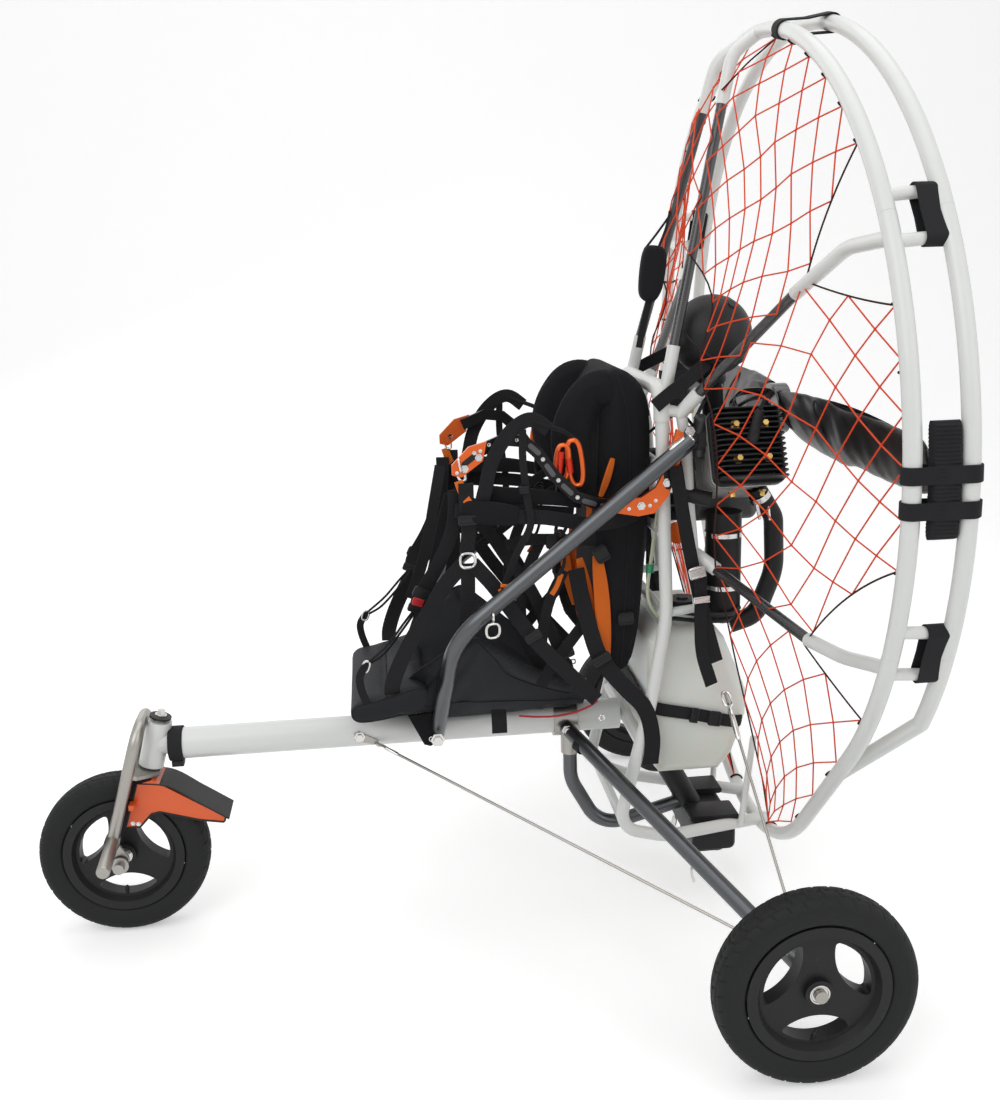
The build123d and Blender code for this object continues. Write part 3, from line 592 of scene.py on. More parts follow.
def carbon():
    """Twill of carbon tows under clear gloss: two tones by the weave's product."""
    made = Finish("Carbon tube")
    made.put(Coat_Weight=0.6, Coat_Roughness=0.06, Metallic=0.2)
    tows = made.place("Weave", Threads_per_metre=160.0)
    made.link(made.mix(made.ramp(tows.outputs["Threads"], 0.0, 1.0), rgba((0.008, 0.008, 0.009)),
                       rgba((0.045, 0.045, 0.048))), "Base Color")
    made.link(made.ramp(tows.outputs["Threads"], 0.28, 0.5), "Roughness")
    made.link(made.bump(tows.outputs["Height"], 0.08, 0.0005), "Normal")
    return made.material


def tank_plastic():
    """Milky blow-moulded plastic that light goes into, a little darker where it holds fuel."""
    made = Finish("Tank plastic")
    made.put(Subsurface_Weight=0.35, Subsurface_Scale=0.03)
    skin = made.place("Surface grain", Grain_size=420.0, Patch_size=6.0)
    place = made.tree.nodes.new("ShaderNodeSeparateXYZ")
    made.tree.links.new(made.tree.nodes.new("ShaderNodeTexCoord").outputs["Object"], place.inputs[0])
    level = made.tree.nodes.new("ShaderNodeMapRange")
    level.interpolation_type = "SMOOTHSTEP"
    level.inputs["From Min"].default_value = 0.30
    level.inputs["From Max"].default_value = 0.42
    made.tree.links.new(place.outputs["Z"], level.inputs["Value"])
    tone = made.mix(level.outputs[0], rgba((0.70, 0.73, 0.66)), rgba((0.83, 0.85, 0.80)))
    made.link(made.mix(made.ramp(skin.outputs["Patches"], 0.0, 0.3), tone, rgba((0.9, 0.91, 0.88))),
              "Base Color")
    made.link(made.ramp(skin.outputs["Patches"], 0.25, 0.42), "Roughness")
    made.link(made.bump(skin.outputs["Height"], 0.12, 0.0008), "Normal")
    return made.material


class TrikeColours(bpy.types.PropertyGroup):
    """Colours that the trike can be ordered in"""
    coat: FloatVectorProperty(name="Tube coat", description="Powder coat of the cage and chassis",
                              subtype="COLOR",
                              default=(0.80, 0.815, 0.79), min=0, max=1)
    bar: FloatVectorProperty(name="Grey tube", description="Anodised side bars and rear arms",
                             subtype="COLOR",
                             default=(0.105, 0.110, 0.116), min=0, max=1)
    accent: FloatVectorProperty(name="Orange parts", description="Mudguard and arm plates", subtype="COLOR",
                                default=(0.80, 0.11, 0.012), min=0, max=1)
    cord: FloatVectorProperty(name="Net cord", description="Cord of the cage's netting", subtype="COLOR",
                              default=(0.74, 0.045, 0.015), min=0, max=1)
    cloth: FloatVectorProperty(name="Harness cloth", description="Nylon of the seat and back",
                               subtype="COLOR",
                               default=(0.006, 0.006, 0.0075), min=0, max=1)


class TrikeSizes(bpy.types.PropertyGroup):
    """Sizes of the fittings that Blender adds, in millimetres"""
    net_cord: FloatProperty(name="Net cord", description="Diameter of the net's cord in millimetres",
                            default=2.6, min=0.5, max=6)
    webbing: FloatProperty(name="Webbing", description="Width of the harness webbing in millimetres",
                           default=25.0, min=5, max=60)
    meshes: IntProperty(name="Net meshes", description="Meshes of the net across its upper panel",
                        default=5, min=2, max=40)


def settings():
    return bpy.context.scene.trike_colours, bpy.context.scene.trike_sizes


def make_finishes():
    """Every finish of the trike by its plain name."""
    grain_group()
    weave_group()
    ribs_group()
    colours, _ = settings()
    return {
        "coat": coated("White powder coat", colours.coat, 0.33, 0.02, 0.04, coat=0.25),
        "bar": coated("Dark anodised tube", colours.bar, 0.30, 0.08, 0.05, metallic=0.9, drag=0.15),
        "accent": coated("Orange paint", colours.accent, 0.33, 0.05, 0.04, coat=0.3),
        "anodised": coated("Orange anodising", (0.78, 0.13, 0.02), 0.30, 0.06, 0.04, metallic=0.55),
        "steel": coated("Brushed steel", (0.36, 0.345, 0.32), 0.36, 0.12, 0.16, metallic=1.0, drag=0.06,
                        scuff=0.3,
                        scuff_colour=(0.5, 0.48, 0.45)),
        "bright": coated("Bright steel", (0.62, 0.61, 0.59), 0.2, 0.08, 0.04, metallic=1.0),
        "black metal": coated("Black anodising", (0.012, 0.012, 0.013), 0.36, 0.2, 0.05, metallic=0.5,
                              scuff=0.12),
        "moulded": coated("Moulded black plastic", (0.014, 0.014, 0.015), 0.46, 0.2, 0.12, scuff=0.08),
        "gloss": coated("Gloss black", (0.007, 0.007, 0.008), 0.22, 0.2, 0.05, coat=0.5),
        "rubber": coated("Tyre rubber", (0.013, 0.0135, 0.014), 0.68, 0.25, 0.3, grain=700.0, scuff=0.2,
                         scuff_colour=(0.05, 0.05, 0.048)),
        "cast": coated("Cast alloy", (0.10, 0.10, 0.10), 0.55, 0.2, 0.3, metallic=0.7, grain=500.0),
        "fins": coated("Silver alloy", (0.42, 0.42, 0.41), 0.45, 0.15, 0.2, metallic=0.85),
        "brass": coated("Brass", (0.55, 0.36, 0.12), 0.3, 0.1, 0.05, metallic=1.0),
        "exhaust": coated("Heat blackened steel", (0.018, 0.018, 0.018), 0.5, 0.35, 0.15, metallic=0.4,
                          scuff=0.3,
                          scuff_colour=(0.07, 0.055, 0.04)),
        "carbon": carbon(),
        "tank": tank_plastic(),
        "cloth": woven("Harness nylon", colours.cloth, (0.014, 0.014, 0.016)),
        "lining": woven("Orange lining", (0.75, 0.13, 0.015), (0.85, 0.2, 0.03)),
        "webbing": woven("Black webbing", (0.005, 0.005, 0.006), (0.02, 0.02, 0.022), "Webbing ribs",
                         420.0, 0.7),
        "seat cloth": woven("Cushion nylon", (0.009, 0.0095, 0.012), (0.020, 0.021, 0.025), threads=1100.0,
                            rough=0.62, bump=0.2),
        "red trim": coated("Red trim", (0.55, 0.02, 0.03), 0.4, 0.05, 0.05),
        "red metal": coated("Red anodising", (0.62, 0.03, 0.01), 0.28, 0.06, 0.04, metallic=0.6),
        "orange web": woven("Orange webbing", (0.80, 0.13, 0.012), (0.9, 0.22, 0.03), "Webbing ribs",
                            420.0, 0.6),
        "slot": coated("Painted slot glint", (0.10, 0.10, 0.105), 0.4, 0.1, 0.05, metallic=0.6),
        # Painted highlight: the slot finish's grey, lighter than the black arm, paints the glint on the walls
        # of the arms' slots
        "cover": coated("Blade cover", (0.008, 0.008, 0.009), 0.36, 0.25, 0.08, coat=0.10, grain=220.0),
        "fuel line": coated("Clear fuel line", (0.55, 0.60, 0.42), 0.25, 0.1, 0.03),
        "green": coated("Green clip", (0.01, 0.28, 0.12), 0.35, 0.1, 0.05),
        "yellow": coated("Yellow tag", (0.75, 0.50, 0.02), 0.4, 0.1, 0.05),
        "net": woven("Net cord", colours.cord, (0.85, 0.10, 0.03), "Webbing ribs", 260.0, 0.6, 0.3),
        "edge": woven("Dark net cord", (0.01, 0.01, 0.011), (0.05, 0.012, 0.01), "Webbing ribs", 160.0, 0.7),
    }


FINISH = {}

CAD_FINISH = {
    "coat": ("main_tube", "frame_left", "frame_right", "rear_uprights", "cross_tubes", "cage_top",
             "cage_left",
             "cage_right", "cage_bottom", "frame_hoop"),
    "bar": ("cradle_tube", "arm_left", "arm_right", "side_bar_left", "side_bar_right"),
    "steel": ("collar_and_lugs", "rear_axles", "front_stays", "rear_stays", "fork", "front_axle"),
    "accent": ("mudguard",),
    "anodised": ("arm_plates",),
    "black metal": ("comfort_arms", "engine_mounts", "drive_plate", "base_bracket"),
    "carbon": ("upper_rods", "side_rods_upper", "side_rods_lower"),
    "cast": ("crankcase", "cylinder"),
    "moulded": ("airbox", "front_rim", "left_rim", "right_rim"),
    "rubber": ("front_tyre", "left_tyre", "right_tyre"),
    "exhaust": ("exhaust",),
    "gloss": ("propeller",),
    "tank": ("fuel_tank",),
    "cloth": ("seat_pan", "seat_board", "backrest", "shoulder_pads", "cage_pads"),
    "webbing": ("stay_straps",),
}


class TRIKE_OT_tubes(bpy.types.Operator):
    """Gives every CAD piece its finish"""
    bl_idname = "trike.tubes"
    bl_label = "Tubes and CAD pieces"

    def execute(self, context):
        FINISH.update(make_finishes())
        for finish, nodes in CAD_FINISH.items():
            for node in nodes:
                paint(node, FINISH[finish])
        return {"FINISHED"}


def paint(node, material):
    """The CAD node's material slots all hold one finish."""
    mesh = frame["nodes"][node].data
    if not mesh.materials:
        mesh.materials.append(material)
    for k in range(len(mesh.materials)):
        mesh.materials[k] = material


class TRIKE_OT_wheels(bpy.types.Operator):
    """Tyres with their tread blocks, bearing seals and valves of the three wheels"""
    bl_idname = "trike.wheels"
    bl_label = "Wheels"

    def execute(self, context):
        places = (("front", -WHEELBASE, 0, -1), ("left", 0, -HALF_TRACK, -1), ("right", 0, HALF_TRACK, 1))
        for side, x, y, outer in places:
            centre = np.array([x, y, TYRE_RADIUS])
            body = side + "_wheel"
            tread = piece(side + "_tyre_tread", tyre(centre), "rubber", body, 60)
            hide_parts(side + "_tyre")
            fittings = [wheel_fittings(centre, face) for face in (-1, 1)]
            piece(side + "_wheel_fittings", joined(fittings), "bright", body)
            piece(side + "_valve", valve(centre, outer), "moulded", body)
        return {"FINISHED"}


def tyre_height(across, turn):
    """Depth cut into the tyre at a share across its crown and an angle round it, in millimetres.

    A zigzag groove runs round the middle, a straight one along each shoulder, and slanted cross cuts
    divide the rest into blocks; each cut is a smooth step of the distance to its line."""
    def cut(distance, half):
        return 1 / (1 + np.exp((distance - half) / 0.35))

    around = turn * TYRE_RADIUS
    pitch = 2 * math.pi * TYRE_RADIUS / TREAD_BLOCKS
    zigzag = 2.6 * (2 * np.abs((around / pitch) % 1 - 0.5) - 0.5) * 2
    width = across * TYRE_HALF_WIDTH
    middle = cut(np.abs(width - zigzag), 0.9)
    shoulder = cut(np.abs(np.abs(width) - 14.5), 0.8)
    lean = np.where(width > 0, 0.55, -0.55) * width + np.where(np.abs(width) > 14.5, pitch / 2, 0)
    phase = np.abs((around + lean) % pitch - pitch / 2)
    cross = cut(phase, 1.1) * (np.abs(width) < 25.5)
    return TREAD_DEPTH * np.maximum(np.maximum(middle, shoulder), cross)


def tyre(centre):
    """Tyre about the Y axis on a grid of angle round it and angle round its section.

    The section is an ellipse that the crown flattens: radius is the widest place's plus height *
    cos(a) ** 0.72 and the half width is the tyre's times sin(a) ** 0.8 until the bead, where it draws in to
    the rim's seat. The sidewall carries two raised rings and fine slanted ribs below the tread."""
    rows, columns = 624, 56
    turn = full_turn(rows)
    a = np.linspace(-1, 1, columns) * (math.pi / 2 + BEAD_TURN)
    beyond = (np.abs(a) - math.pi / 2) / BEAD_TURN
    out = np.where(beyond < 0, (TYRE_RADIUS - WIDEST_RADIUS) * np.abs(np.cos(a)) ** 0.72,
                   -(WIDEST_RADIUS - RIM_RADIUS - 2) * np.abs(np.sin(beyond * math.pi / 2)))
    radius = WIDEST_RADIUS + out
    inward = np.clip(beyond, 0, 1)
    wide = TYRE_HALF_WIDTH * np.abs(np.sin(a)) ** 0.8 * np.sign(a)
    wide = np.where(inward > 0,
                    np.sign(a) * (TYRE_HALF_WIDTH - (TYRE_HALF_WIDTH - BEAD_HALF_WIDTH) * inward ** 1.6),
                    wide)
    share = wide / TYRE_HALF_WIDTH
    crown = np.clip((radius - 141) / 6, 0, 1)
    ring = 0.7 * np.exp(-((radius - 121) / 1.1) ** 2) + 0.6 * np.exp(-((radius - 138.5) / 0.9) ** 2)
    turn_grid, share_grid = np.meshgrid(turn, share, indexing="ij")
    cut = tyre_height(share_grid, turn_grid) * crown[None]
    ribs = 0.28 * np.sin(turn_grid * 150 + radius[None] * 0.9) * np.exp(-((radius[None] - 146) / 3.2) ** 2)
    r = radius[None] - cut + ribs * (1 - crown[None])
    y = wide[None] + np.sign(wide)[None] * ring[None] + 0 * r
    points = np.stack([np.cos(turn_grid) * r, y, np.sin(turn_grid) * r], -1)
    seat_low = np.stack([np.cos(turn) * (RIM_RADIUS + 0.4), np.full(rows, -BEAD_HALF_WIDTH + 1),
                         np.sin(turn) * (RIM_RADIUS + 0.4)], 1)
    seat_high = seat_low * (1, -1, 1)
    points = np.concatenate([seat_low[:, None], points, seat_high[:, None]], 1)
    return grid(points + centre, wrap_rows=True, wrap_columns=True)


def wheel_fittings(centre, face):
    """Bearing's seal on one face of a wheel's hub."""
    y = HUB_HALF_WIDTH
    profile = [(y, 15.5), (y + 1.6, 15.5), (y + 1.8, 13.5), (y + 0.8, 12.5), (y + 1.2, 10.0), (y + 0.9, 7.2)]
    return turned(profile, centre, (0, face, 0), 48)


def valve(centre, face):
    """Rubber valve with its cap, standing inwards from the rim in the lowest hole."""
    foot = centre + np.array([-6.0, face * 7.0, -101.0])
    tip = centre + np.array([-3.0, face * 15.0, -68.0])
    axis = unit(tip - foot)
    return turned([(0, 5.2), (6, 4.6), (12, 3.2), (24, 3.0), (25, 4.0), (34, 3.8), (36, 2.2), (36.2, 0.01)],
                  foot, axis, 16)


NET_ANCHORS = {
    # Columns: X, Y, Z of the inner border, from the top down, and along the cage's rods
    "upper rod": [(-6, -72, 1482), (-34, -88, 1370), (-68, -112, 1220)],
    "hoop side": [(-68, -112, 1220), (-52, -150, 1183), (-40, -156, 1146), (-44, -160, 1117),
                  (-52, -165, 1093), (-65, -172, 1058), (-64, -196, 1004)],
    "head side": [(-64, -196, 1004), (-62, -238, 965), (-60, -262, 900), (-58, -256, 830), (-50, -218, 760),
                  (-38, -188, 696)],
    "upright": [(-38, -188, 696), (-22, -178, 640), (8, -160, 520), (46, -140, 380), (78, -122, 260),
                (95, -112, 172)],
    "upper side rod": [(-64, -196, 1004), (-26, -262, 1062), (14, -324, 1132), (42, -362, 1178)],
    "lower side rod": [(-38, -188, 696), (4, -292, 660), (46, -396, 620)],
}


def scallop(start, middle, end):
    """Border that a taut edge cord takes between two fixings: a parabola through its middle."""
    t = np.linspace(0, 1, 24)[:, None]
    start, middle, end = (np.asarray(v, float) for v in (start, middle, end))
    control = 2 * middle - (start + end) / 2
    return (1 - t) ** 2 * start + 2 * t * (1 - t) * control + t ** 2 * end


def patch(inner, outer, low, high, across, along):
    """Coons surface between four borders: inner to outer runs across, low to high runs along.

    Each point is the two straight blends of opposite borders added together, less the blend of the four
    corners."""
    u = np.linspace(0, 1, across)[:, None, None]
    v = np.linspace(0, 1, along)[None, :, None]
    inner, outer = spread(inner, along)[None], spread(outer, along)[None]
    low, high = spread(low, across)[:, None], spread(high, across)[:, None]
    corners = ((1 - u) * (1 - v) * inner[:, :1] + (1 - u) * v * inner[:, -1:] + u * (1 - v) * outer[:, :1]
               + u * v * outer[:, -1:])
    return (1 - u) * inner + u * outer + (1 - v) * low + v * high - corners


def net_cords(surface, meshes_across, meshes_along, radius):
    """Cords of a diamond net on a patch.

    A cord is a line of constant u + v or u - v counted in meshes, cut off where it reaches a border;
    the cords of constant u - v carry a knot at each of their inner points, where the cords cross."""
    rows, columns = surface.shape[:2]
    cords = []
    for slope in (1, -1):
        for k in range(-meshes_along, meshes_across + meshes_along + 1):
            steps = np.linspace(0, meshes_along, 2 * meshes_along + 1)
            u = k + slope * steps
            inside = (u >= 0) & (u <= meshes_across)
            if inside.sum() < 2:
                continue
            i = u[inside] / meshes_across * (rows - 1)
            j = steps[inside] / meshes_along * (columns - 1)
            i0, j0 = np.minimum(i.astype(int), rows - 2), np.minimum(j.astype(int), columns - 2)
            fi, fj = (i - i0)[:, None], (j - j0)[:, None]
            path = ((1 - fi) * (1 - fj) * surface[i0, j0] + fi * (1 - fj) * surface[i0 + 1, j0]
                    + (1 - fi) * fj * surface[i0, j0 + 1] + fi * fj * surface[i0 + 1, j0 + 1])
            cords.append(sweep(path, circle(radius, 5)))
            if slope > 0:
                cords += [knot(point, radius * 1.9) for point in path[1:-1]]
    return cords


def knot(centre, radius):
    """Knot where two cords cross: an eight-sided bead."""
    axes = radius * np.vstack([np.eye(3), -np.eye(3)])
    faces = [(0, 1, 2), (1, 3, 2), (3, 4, 2), (4, 0, 2), (1, 0, 5), (3, 1, 5), (4, 3, 5), (0, 4, 5)]
    return shape(centre + axes, (), faces)


def inside_hoop(degrees):
    """Points on the front hoop's inner side, where the net is tied."""
    centre = front_hoop(degrees)
    inward = unit(np.array([HOOP_X, 0, HOOP_Z]) - centre)
    return centre + inward * (HOOP_TUBE + 1.5) + np.array([-4.0, 0, 0])


class TRIKE_OT_net(bpy.types.Operator):
    """Diamond netting from the chassis to the front hoop, with its dark border cords and loops"""
    bl_idname = "trike.net"
    bl_label = "Cage net"

    def execute(self, context):
        _, sizes = settings()
        radius = sizes.net_cord / 2
        a = NET_ANCHORS
        top_edge = inside_hoop(np.linspace(-11.3, -46.3, 24))
        upper_ring = inside_hoop(np.linspace(-68.7, -100.2, 24))
        low_ring = inside_hoop(np.linspace(-125, -171.4, 24))
        upper_rod, lower_rod = np.array(a["upper side rod"], float), np.array(a["lower side rod"], float)
        top_rod = np.vstack([np.array(a["upper rod"], float)[::-1], (32, -92, 1522), top_edge[:1]])
        gap_high = scallop(upper_rod[-1], (57, -398, 1275), top_edge[-1])
        gap_side = scallop(upper_rod[-1], (62, -481, 1160), upper_ring[0])
        gap_low = scallop(lower_rod[-1], (66, -500, 722), upper_ring[-1])
        gap_bottom = scallop(lower_rod[-1], (68, -465, 578), low_ring[0])
        panels = {
            "top": (patch(a["hoop side"], top_edge, top_rod, np.vstack([upper_rod, gap_high[1:]]), 40, 24),
                    sizes.meshes, sizes.meshes),
            "side": (patch(a["head side"], upper_ring, np.vstack([upper_rod, gap_side[1:]]),
                           np.vstack([lower_rod, gap_low[1:]]), 40, 30), sizes.meshes - 1, sizes.meshes),
            "low": (patch(a["upright"], low_ring, np.vstack([lower_rod, gap_bottom[1:]]),
                          [a["upright"][-1], low_ring[-1]], 40, 30), sizes.meshes - 1, sizes.meshes - 1),
        }
        for name, (surface, across, lengthwise) in panels.items():
            cords = net_cords(surface, across, lengthwise, radius)
            piece("net_" + name, both_sides(cords), "net", mended=False)
        apex = inside_hoop(np.linspace(11.3, -11.3, 15))
        foot = [(-68, 112, 1220), (-84, 56, 1192), (-90, 0, 1182), (-84, -56, 1192), (-68, -112, 1220)]
        middle = patch(foot, apex, top_rod * (1, -1, 1), top_rod, 36, 16)
        piece("net_middle", joined(net_cords(middle, sizes.meshes - 1, 2, radius)), "net",
              mended=False)
        borders = [gap_high, gap_side, gap_low, gap_bottom, smooth(a["hoop side"], 12),
                   smooth(a["head side"], 30), spread(a["upright"], 30), spread(top_rod[-3:], 12)]
        edges = [sweep(border, circle(radius * 1.15, 6)) for border in borders]
        piece("net_borders", both_sides(edges), "edge", mended=False)
        ties = np.concatenate([np.linspace(11.3, 46.3, 6), np.linspace(68.7, 100.2, 5),
                               np.linspace(125, 171.4, 4)])
        piece("net_ties", both_sides([tie(angle) for angle in ties]), "edge",
              mended=False)
        return {"FINISHED"}


def tie(degrees):
    """Short loop of dark cord on the front hoop's inner side: part of a circle square to the hoop."""
    centre = front_hoop(-degrees)
    inward = unit(np.array([HOOP_X, 0, HOOP_Z]) - centre)
    turn = np.radians(np.linspace(-75, 55, 12))[:, None]
    ahead = np.array([-1.0, 0, 0])
    return rope(centre + (HOOP_TUBE + 1.2) * (np.cos(turn) * inward + np.sin(turn) * ahead), 2.2, 24, 6)


# Soft goods
def pillow(outline, low, high, edge, count=72):
    """Closed pad: a side outline of X and Z carried from low to high in Y.

    Towards each broad face the rings stand edge * (1 - sin t) inside the outline and
    edge * (1 - cos t) before the face, for t from a right angle down to zero; fans close both faces."""
    line = smooth([(x, 0, z) for x, z in outline], count + 1, closed=True)[:-1]
    along = unit(np.roll(line, -1, 0) - np.roll(line, 1, 0))
    inward = np.cross(along, (0, 1, 0))
    if ((line.mean(0) - line) * inward).sum() < 0:
        inward = -inward
    t = np.linspace(0, math.pi / 2, 5)
    inset = edge * (1 - np.sin(t))
    y = np.concatenate([low + edge * (1 - np.cos(t)), high - edge * (1 - np.cos(t))[::-1]])
    inset = np.concatenate([inset, inset[::-1]])
    points = line[None] + inward[None] * inset[:, None, None] + np.array([0, 1, 0]) * y[:, None, None]
    return capped(points)


def capped(points, ends=None, flat=None):
    """Closed surface through rings of points, with a fan over the first and the last ring.

    Each fan meets at its ring's middle, or at the end that is given for it."""
    rows, columns = points.shape[:2]
    body = grid(points, wrap_columns=True, flat=flat)
    ends = points[[0, -1]].mean(1) if ends is None else ends
    k = np.arange(columns)
    last = (rows - 1) * columns
    first_cap = np.stack([k, np.full(columns, rows * columns), (k + 1) % columns], 1)
    last_cap = np.stack([last + (k + 1) % columns, np.full(columns, rows * columns + 1), last + k], 1)
    return shape(np.vstack([body[0], ends]), body[1], np.vstack([first_cap, last_cap]),
                 np.vstack([body[3], np.zeros((2, 2))]))


def seat_side(height):
    """Half width of the seat at a height: its flaps lean out with the side bars and stay within them."""
    bar = 44 + (height - 366) / 238 * 172
    return min(SEAT_HALF_WIDTH, bar - BAR_CLEARANCE)


def seat_shell():
    """Bucket seat: closed sections in Y and Z along X.

    Each row of the table gives one section: up the outside of one flap, over it, down its inside,
    across the seat and the same on the other side; a smooth closed curve runs through its points."""
    # Columns: X, flap's top, bottom, seat
    rows = ((-604, 470, 440, 462), (-585, 496, 416, 466), (-550, 534, 400, 462), (-512, 566, 393, 452),
            (-480, 584, 392, 446), (-450, 592, 392, 442), (-410, 562, 393, 440), (-380, 538, 394, 438),
            (-330, 504, 396, 434), (-285, 474, 398, 430), (-246, 456, 404, 428))
    rings = []
    for x, top, bottom, seat in rows:
        outside = [(seat_side(z), z) for z in np.linspace(bottom + 16, top - 6, 5)]
        half = seat_side(top)
        lip = 13 + 0.03 * (top - seat)
        right = ([(20, bottom), (seat_side(bottom + 16) - 8, bottom + 4)] + outside
                 + [(half - lip / 2, top), (half - lip, top - 5),
                    (seat_side((top + seat) / 2) - lip - 4, (top + seat) / 2),
                    (max(16.0, seat_side(seat + 12) - lip - 8), seat + 4), (10, seat - 2)])
        section = right + [(-y, z) for y, z in right[::-1]]
        rings.append(smooth([(x, y, z) for y, z in section], 97, closed=True)[:-1])
    return capped(np.array(rings))


def shoulder_pad():
    """Leaf-shaped pad on the pilot's left shoulder strap: flat ovals along a bent line.

    The section's half width is 4 mm and 38 mm times the sine of the way along to the power 0.42; its
    half thickness is 10 mm."""
    spine = smooth([(-172, -92, 984), (-196, -98, 1002), (-232, -105, 998), (-258, -110, 964),
                    (-272, -114, 915), (-266, -118, 850), (-250, -120, 806)], 48)
    share = np.linspace(0, 1, len(spine))
    wide = 4 + 38 * np.clip(np.sin(math.pi * (0.03 + 0.94 * share)), 0, 1) ** 0.42
    along = unit(np.gradient(spine, axis=0))
    thin = unit(np.array([0.0, -1.0, 0.0]) + np.array([0.55, 0, 0.1]) * (1 - share)[:, None])
    thin = unit(thin - (thin * along).sum(1, keepdims=True) * along)
    broad = np.cross(along, thin)
    turn = full_turn(36)
    across, up = squared(np.cos(turn), 0.8), squared(np.sin(turn), 0.8)
    points = (spine[:, None] + broad[:, None] * (across[None, :, None] * wide[:, None, None])
              + thin[:, None] * (up[None, :, None] * 10.0))
    return capped(points), spine, broad, wide


BACK_OUTLINE = [(-216, 1030), (-180, 1032), (-148, 1002), (-134, 950), (-133, 860), (-134, 780), (-143, 690),
                (-152, 590), (-166, 508), (-192, 486), (-216, 500), (-226, 580), (-230, 700), (-228, 860),
                (-224, 980)]
FRONT_OUTLINE = [(-676, 464), (-664, 477), (-636, 482), (-600, 490), (-560, 502), (-540, 494), (-540, 468),
                 (-562, 453), (-600, 447), (-640, 442), (-664, 442), (-675, 450)]


def baked(obj):
    """The object's modifiers become its own mesh."""
    made = bpy.data.meshes.new_from_object(obj.evaluated_get(bpy.context.evaluated_depsgraph_get()))
    obj.modifiers.clear()
    obj.data = made
    made.polygons.foreach_set("use_smooth", np.ones(len(made.polygons), bool))


def points_of(mesh):
    flat = np.empty(len(mesh.vertices) * 3)
    mesh.vertices.foreach_get("co", flat)
    return flat.reshape(-1, 3)


def swell(pads):
    """Padding for several pieces at once: even voxels, cloth under inner pressure, a capped move.

    pads holds rows of piece, voxel in metres, greatest move in metres and the seams, a function that
    tells from points in millimetres which of them the sewing holds."""
    for obj, voxel, limit, seams in pads:
        even = obj.modifiers.new("even mesh", "REMESH")
        even.mode = "VOXEL"
        even.voxel_size = voxel
        baked(obj)
    start = [points_of(obj.data) for obj, *_ in pads]
    for (obj, voxel, limit, seams), points in zip(pads, start):
        held = obj.vertex_groups.new(name="sewn")
        sewn = np.nonzero(seams((points - ORIGIN) * 1000))[0]
        held.add(sewn.tolist(), 1.0, "REPLACE")
        cloth = obj.modifiers.new("padding", "CLOTH")
        cloth.settings.quality = 4
        cloth.settings.use_pressure = True
        cloth.settings.uniform_pressure_force = 4.0
        cloth.settings.effector_weights.gravity = 0.0
        cloth.settings.vertex_group_mass = held.name
    for number in range(1, 21):
        bpy.context.scene.frame_set(number)
    for (obj, voxel, limit, seams), points in zip(pads, start):
        baked(obj)
        move = points_of(obj.data) - points
        size = np.linalg.norm(move, axis=1, keepdims=True)
        moved = points + move * np.minimum(1, limit / np.maximum(size, 1e-9))
        obj.data.vertices.foreach_set("co", moved.ravel())
        obj.vertex_groups.clear()
    bpy.context.scene.frame_set(1)


class TRIKE_OT_cushions(bpy.types.Operator):
    """Padded seat, back and shoulder pads, swollen by a cloth simulation between their seams"""
    bl_idname = "trike.cushions"
    bl_label = "Cushions"

    def execute(self, context):
        back = piece("back_cushion", pillow(BACK_OUTLINE, -118, 118, 20), "cloth")
        front = piece("seat_front_cushion", pillow(FRONT_OUTLINE, -160, 160, 10), "seat cloth")
        pan = piece("seat_shell", seat_shell(), "seat cloth")
        made, spine, broad, wide = shoulder_pad()
        left_pad = piece("shoulder_pad_left_soft", made, "cloth")
        right_pad = piece("shoulder_pad_right_soft", mirrored(made), "cloth")
        swell([(back, 0.006, 0.014, back_seams), (front, 0.006, 0.006, front_seams),
               (pan, 0.006, 0.006, pan_seams), (left_pad, 0.004, 0.006, pad_seams),
               (right_pad, 0.004, 0.006, pad_seams)])
        for cushion, node in ((back, "backrest"), (front, "seat_board"), (pan, "seat_pan")):
            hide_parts(node)
        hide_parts("shoulder_pads")
        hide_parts("shoulder_pads")
        for cushion, fill in ((back, 0.6), (front, 0.7), (pan, 0.5), (left_pad, 0.8), (right_pad, 0.8)):
            finer = cushion.modifiers.new("soft", "SUBSURF")
            finer.levels = 1
            finer.render_levels = 1
        rims = [(spine + broad * side * (wide[:, None] + 1.0), 2.2) for side in (-1, 1)]
        trim = piping(rims, left_pad, (1,)) + piping(rims, right_pad, (-1,))
        piece("shoulder_piping", joined(trim), "webbing")
        piece("back_piping", joined(piping(back_trim(), back)), "webbing")
        trim = piping(seat_trim(), pan) + piping(front_trim(), front)
        piece("seat_piping", joined(trim), "webbing")
        piece("seat_red_edge", both_sides(red_edge()), "red trim")
        piece("back_lining", both_sides(lining()), "lining")
        return {"FINISHED"}


def near_curve(points, line, reach):
    """Which points lie within a distance of a polyline of X and Z."""
    line = spread(np.array([(x, 0, z) for x, z in line]), 60)
    flat = points * (1, 0, 1)
    gap = np.min(np.linalg.norm(flat[:, None] - line[None], axis=2), axis=1)
    return gap < reach


BACK_SEAM = [(-196, 1034), (-176, 960), (-170, 820), (-178, 680), (-184, 560), (-190, 488)]
PAN_SEAM = [(-452, 585), (-420, 540), (-395, 500), (-340, 466), (-280, 440)]


def back_seams(points):
    return near_curve(points, BACK_SEAM, 4) | (np.abs(points[:, 2] - 760) < 3) | (points[:, 0] > -138)


def front_seams(points):
    return (np.abs(points[:, 0] + 612) < 3.5) | (points[:, 2] < 446)


def pan_seams(points):
    return near_curve(points, PAN_SEAM, 4) | (points[:, 2] < 400)


def pad_seams(points):
    return np.zeros(len(points), bool)


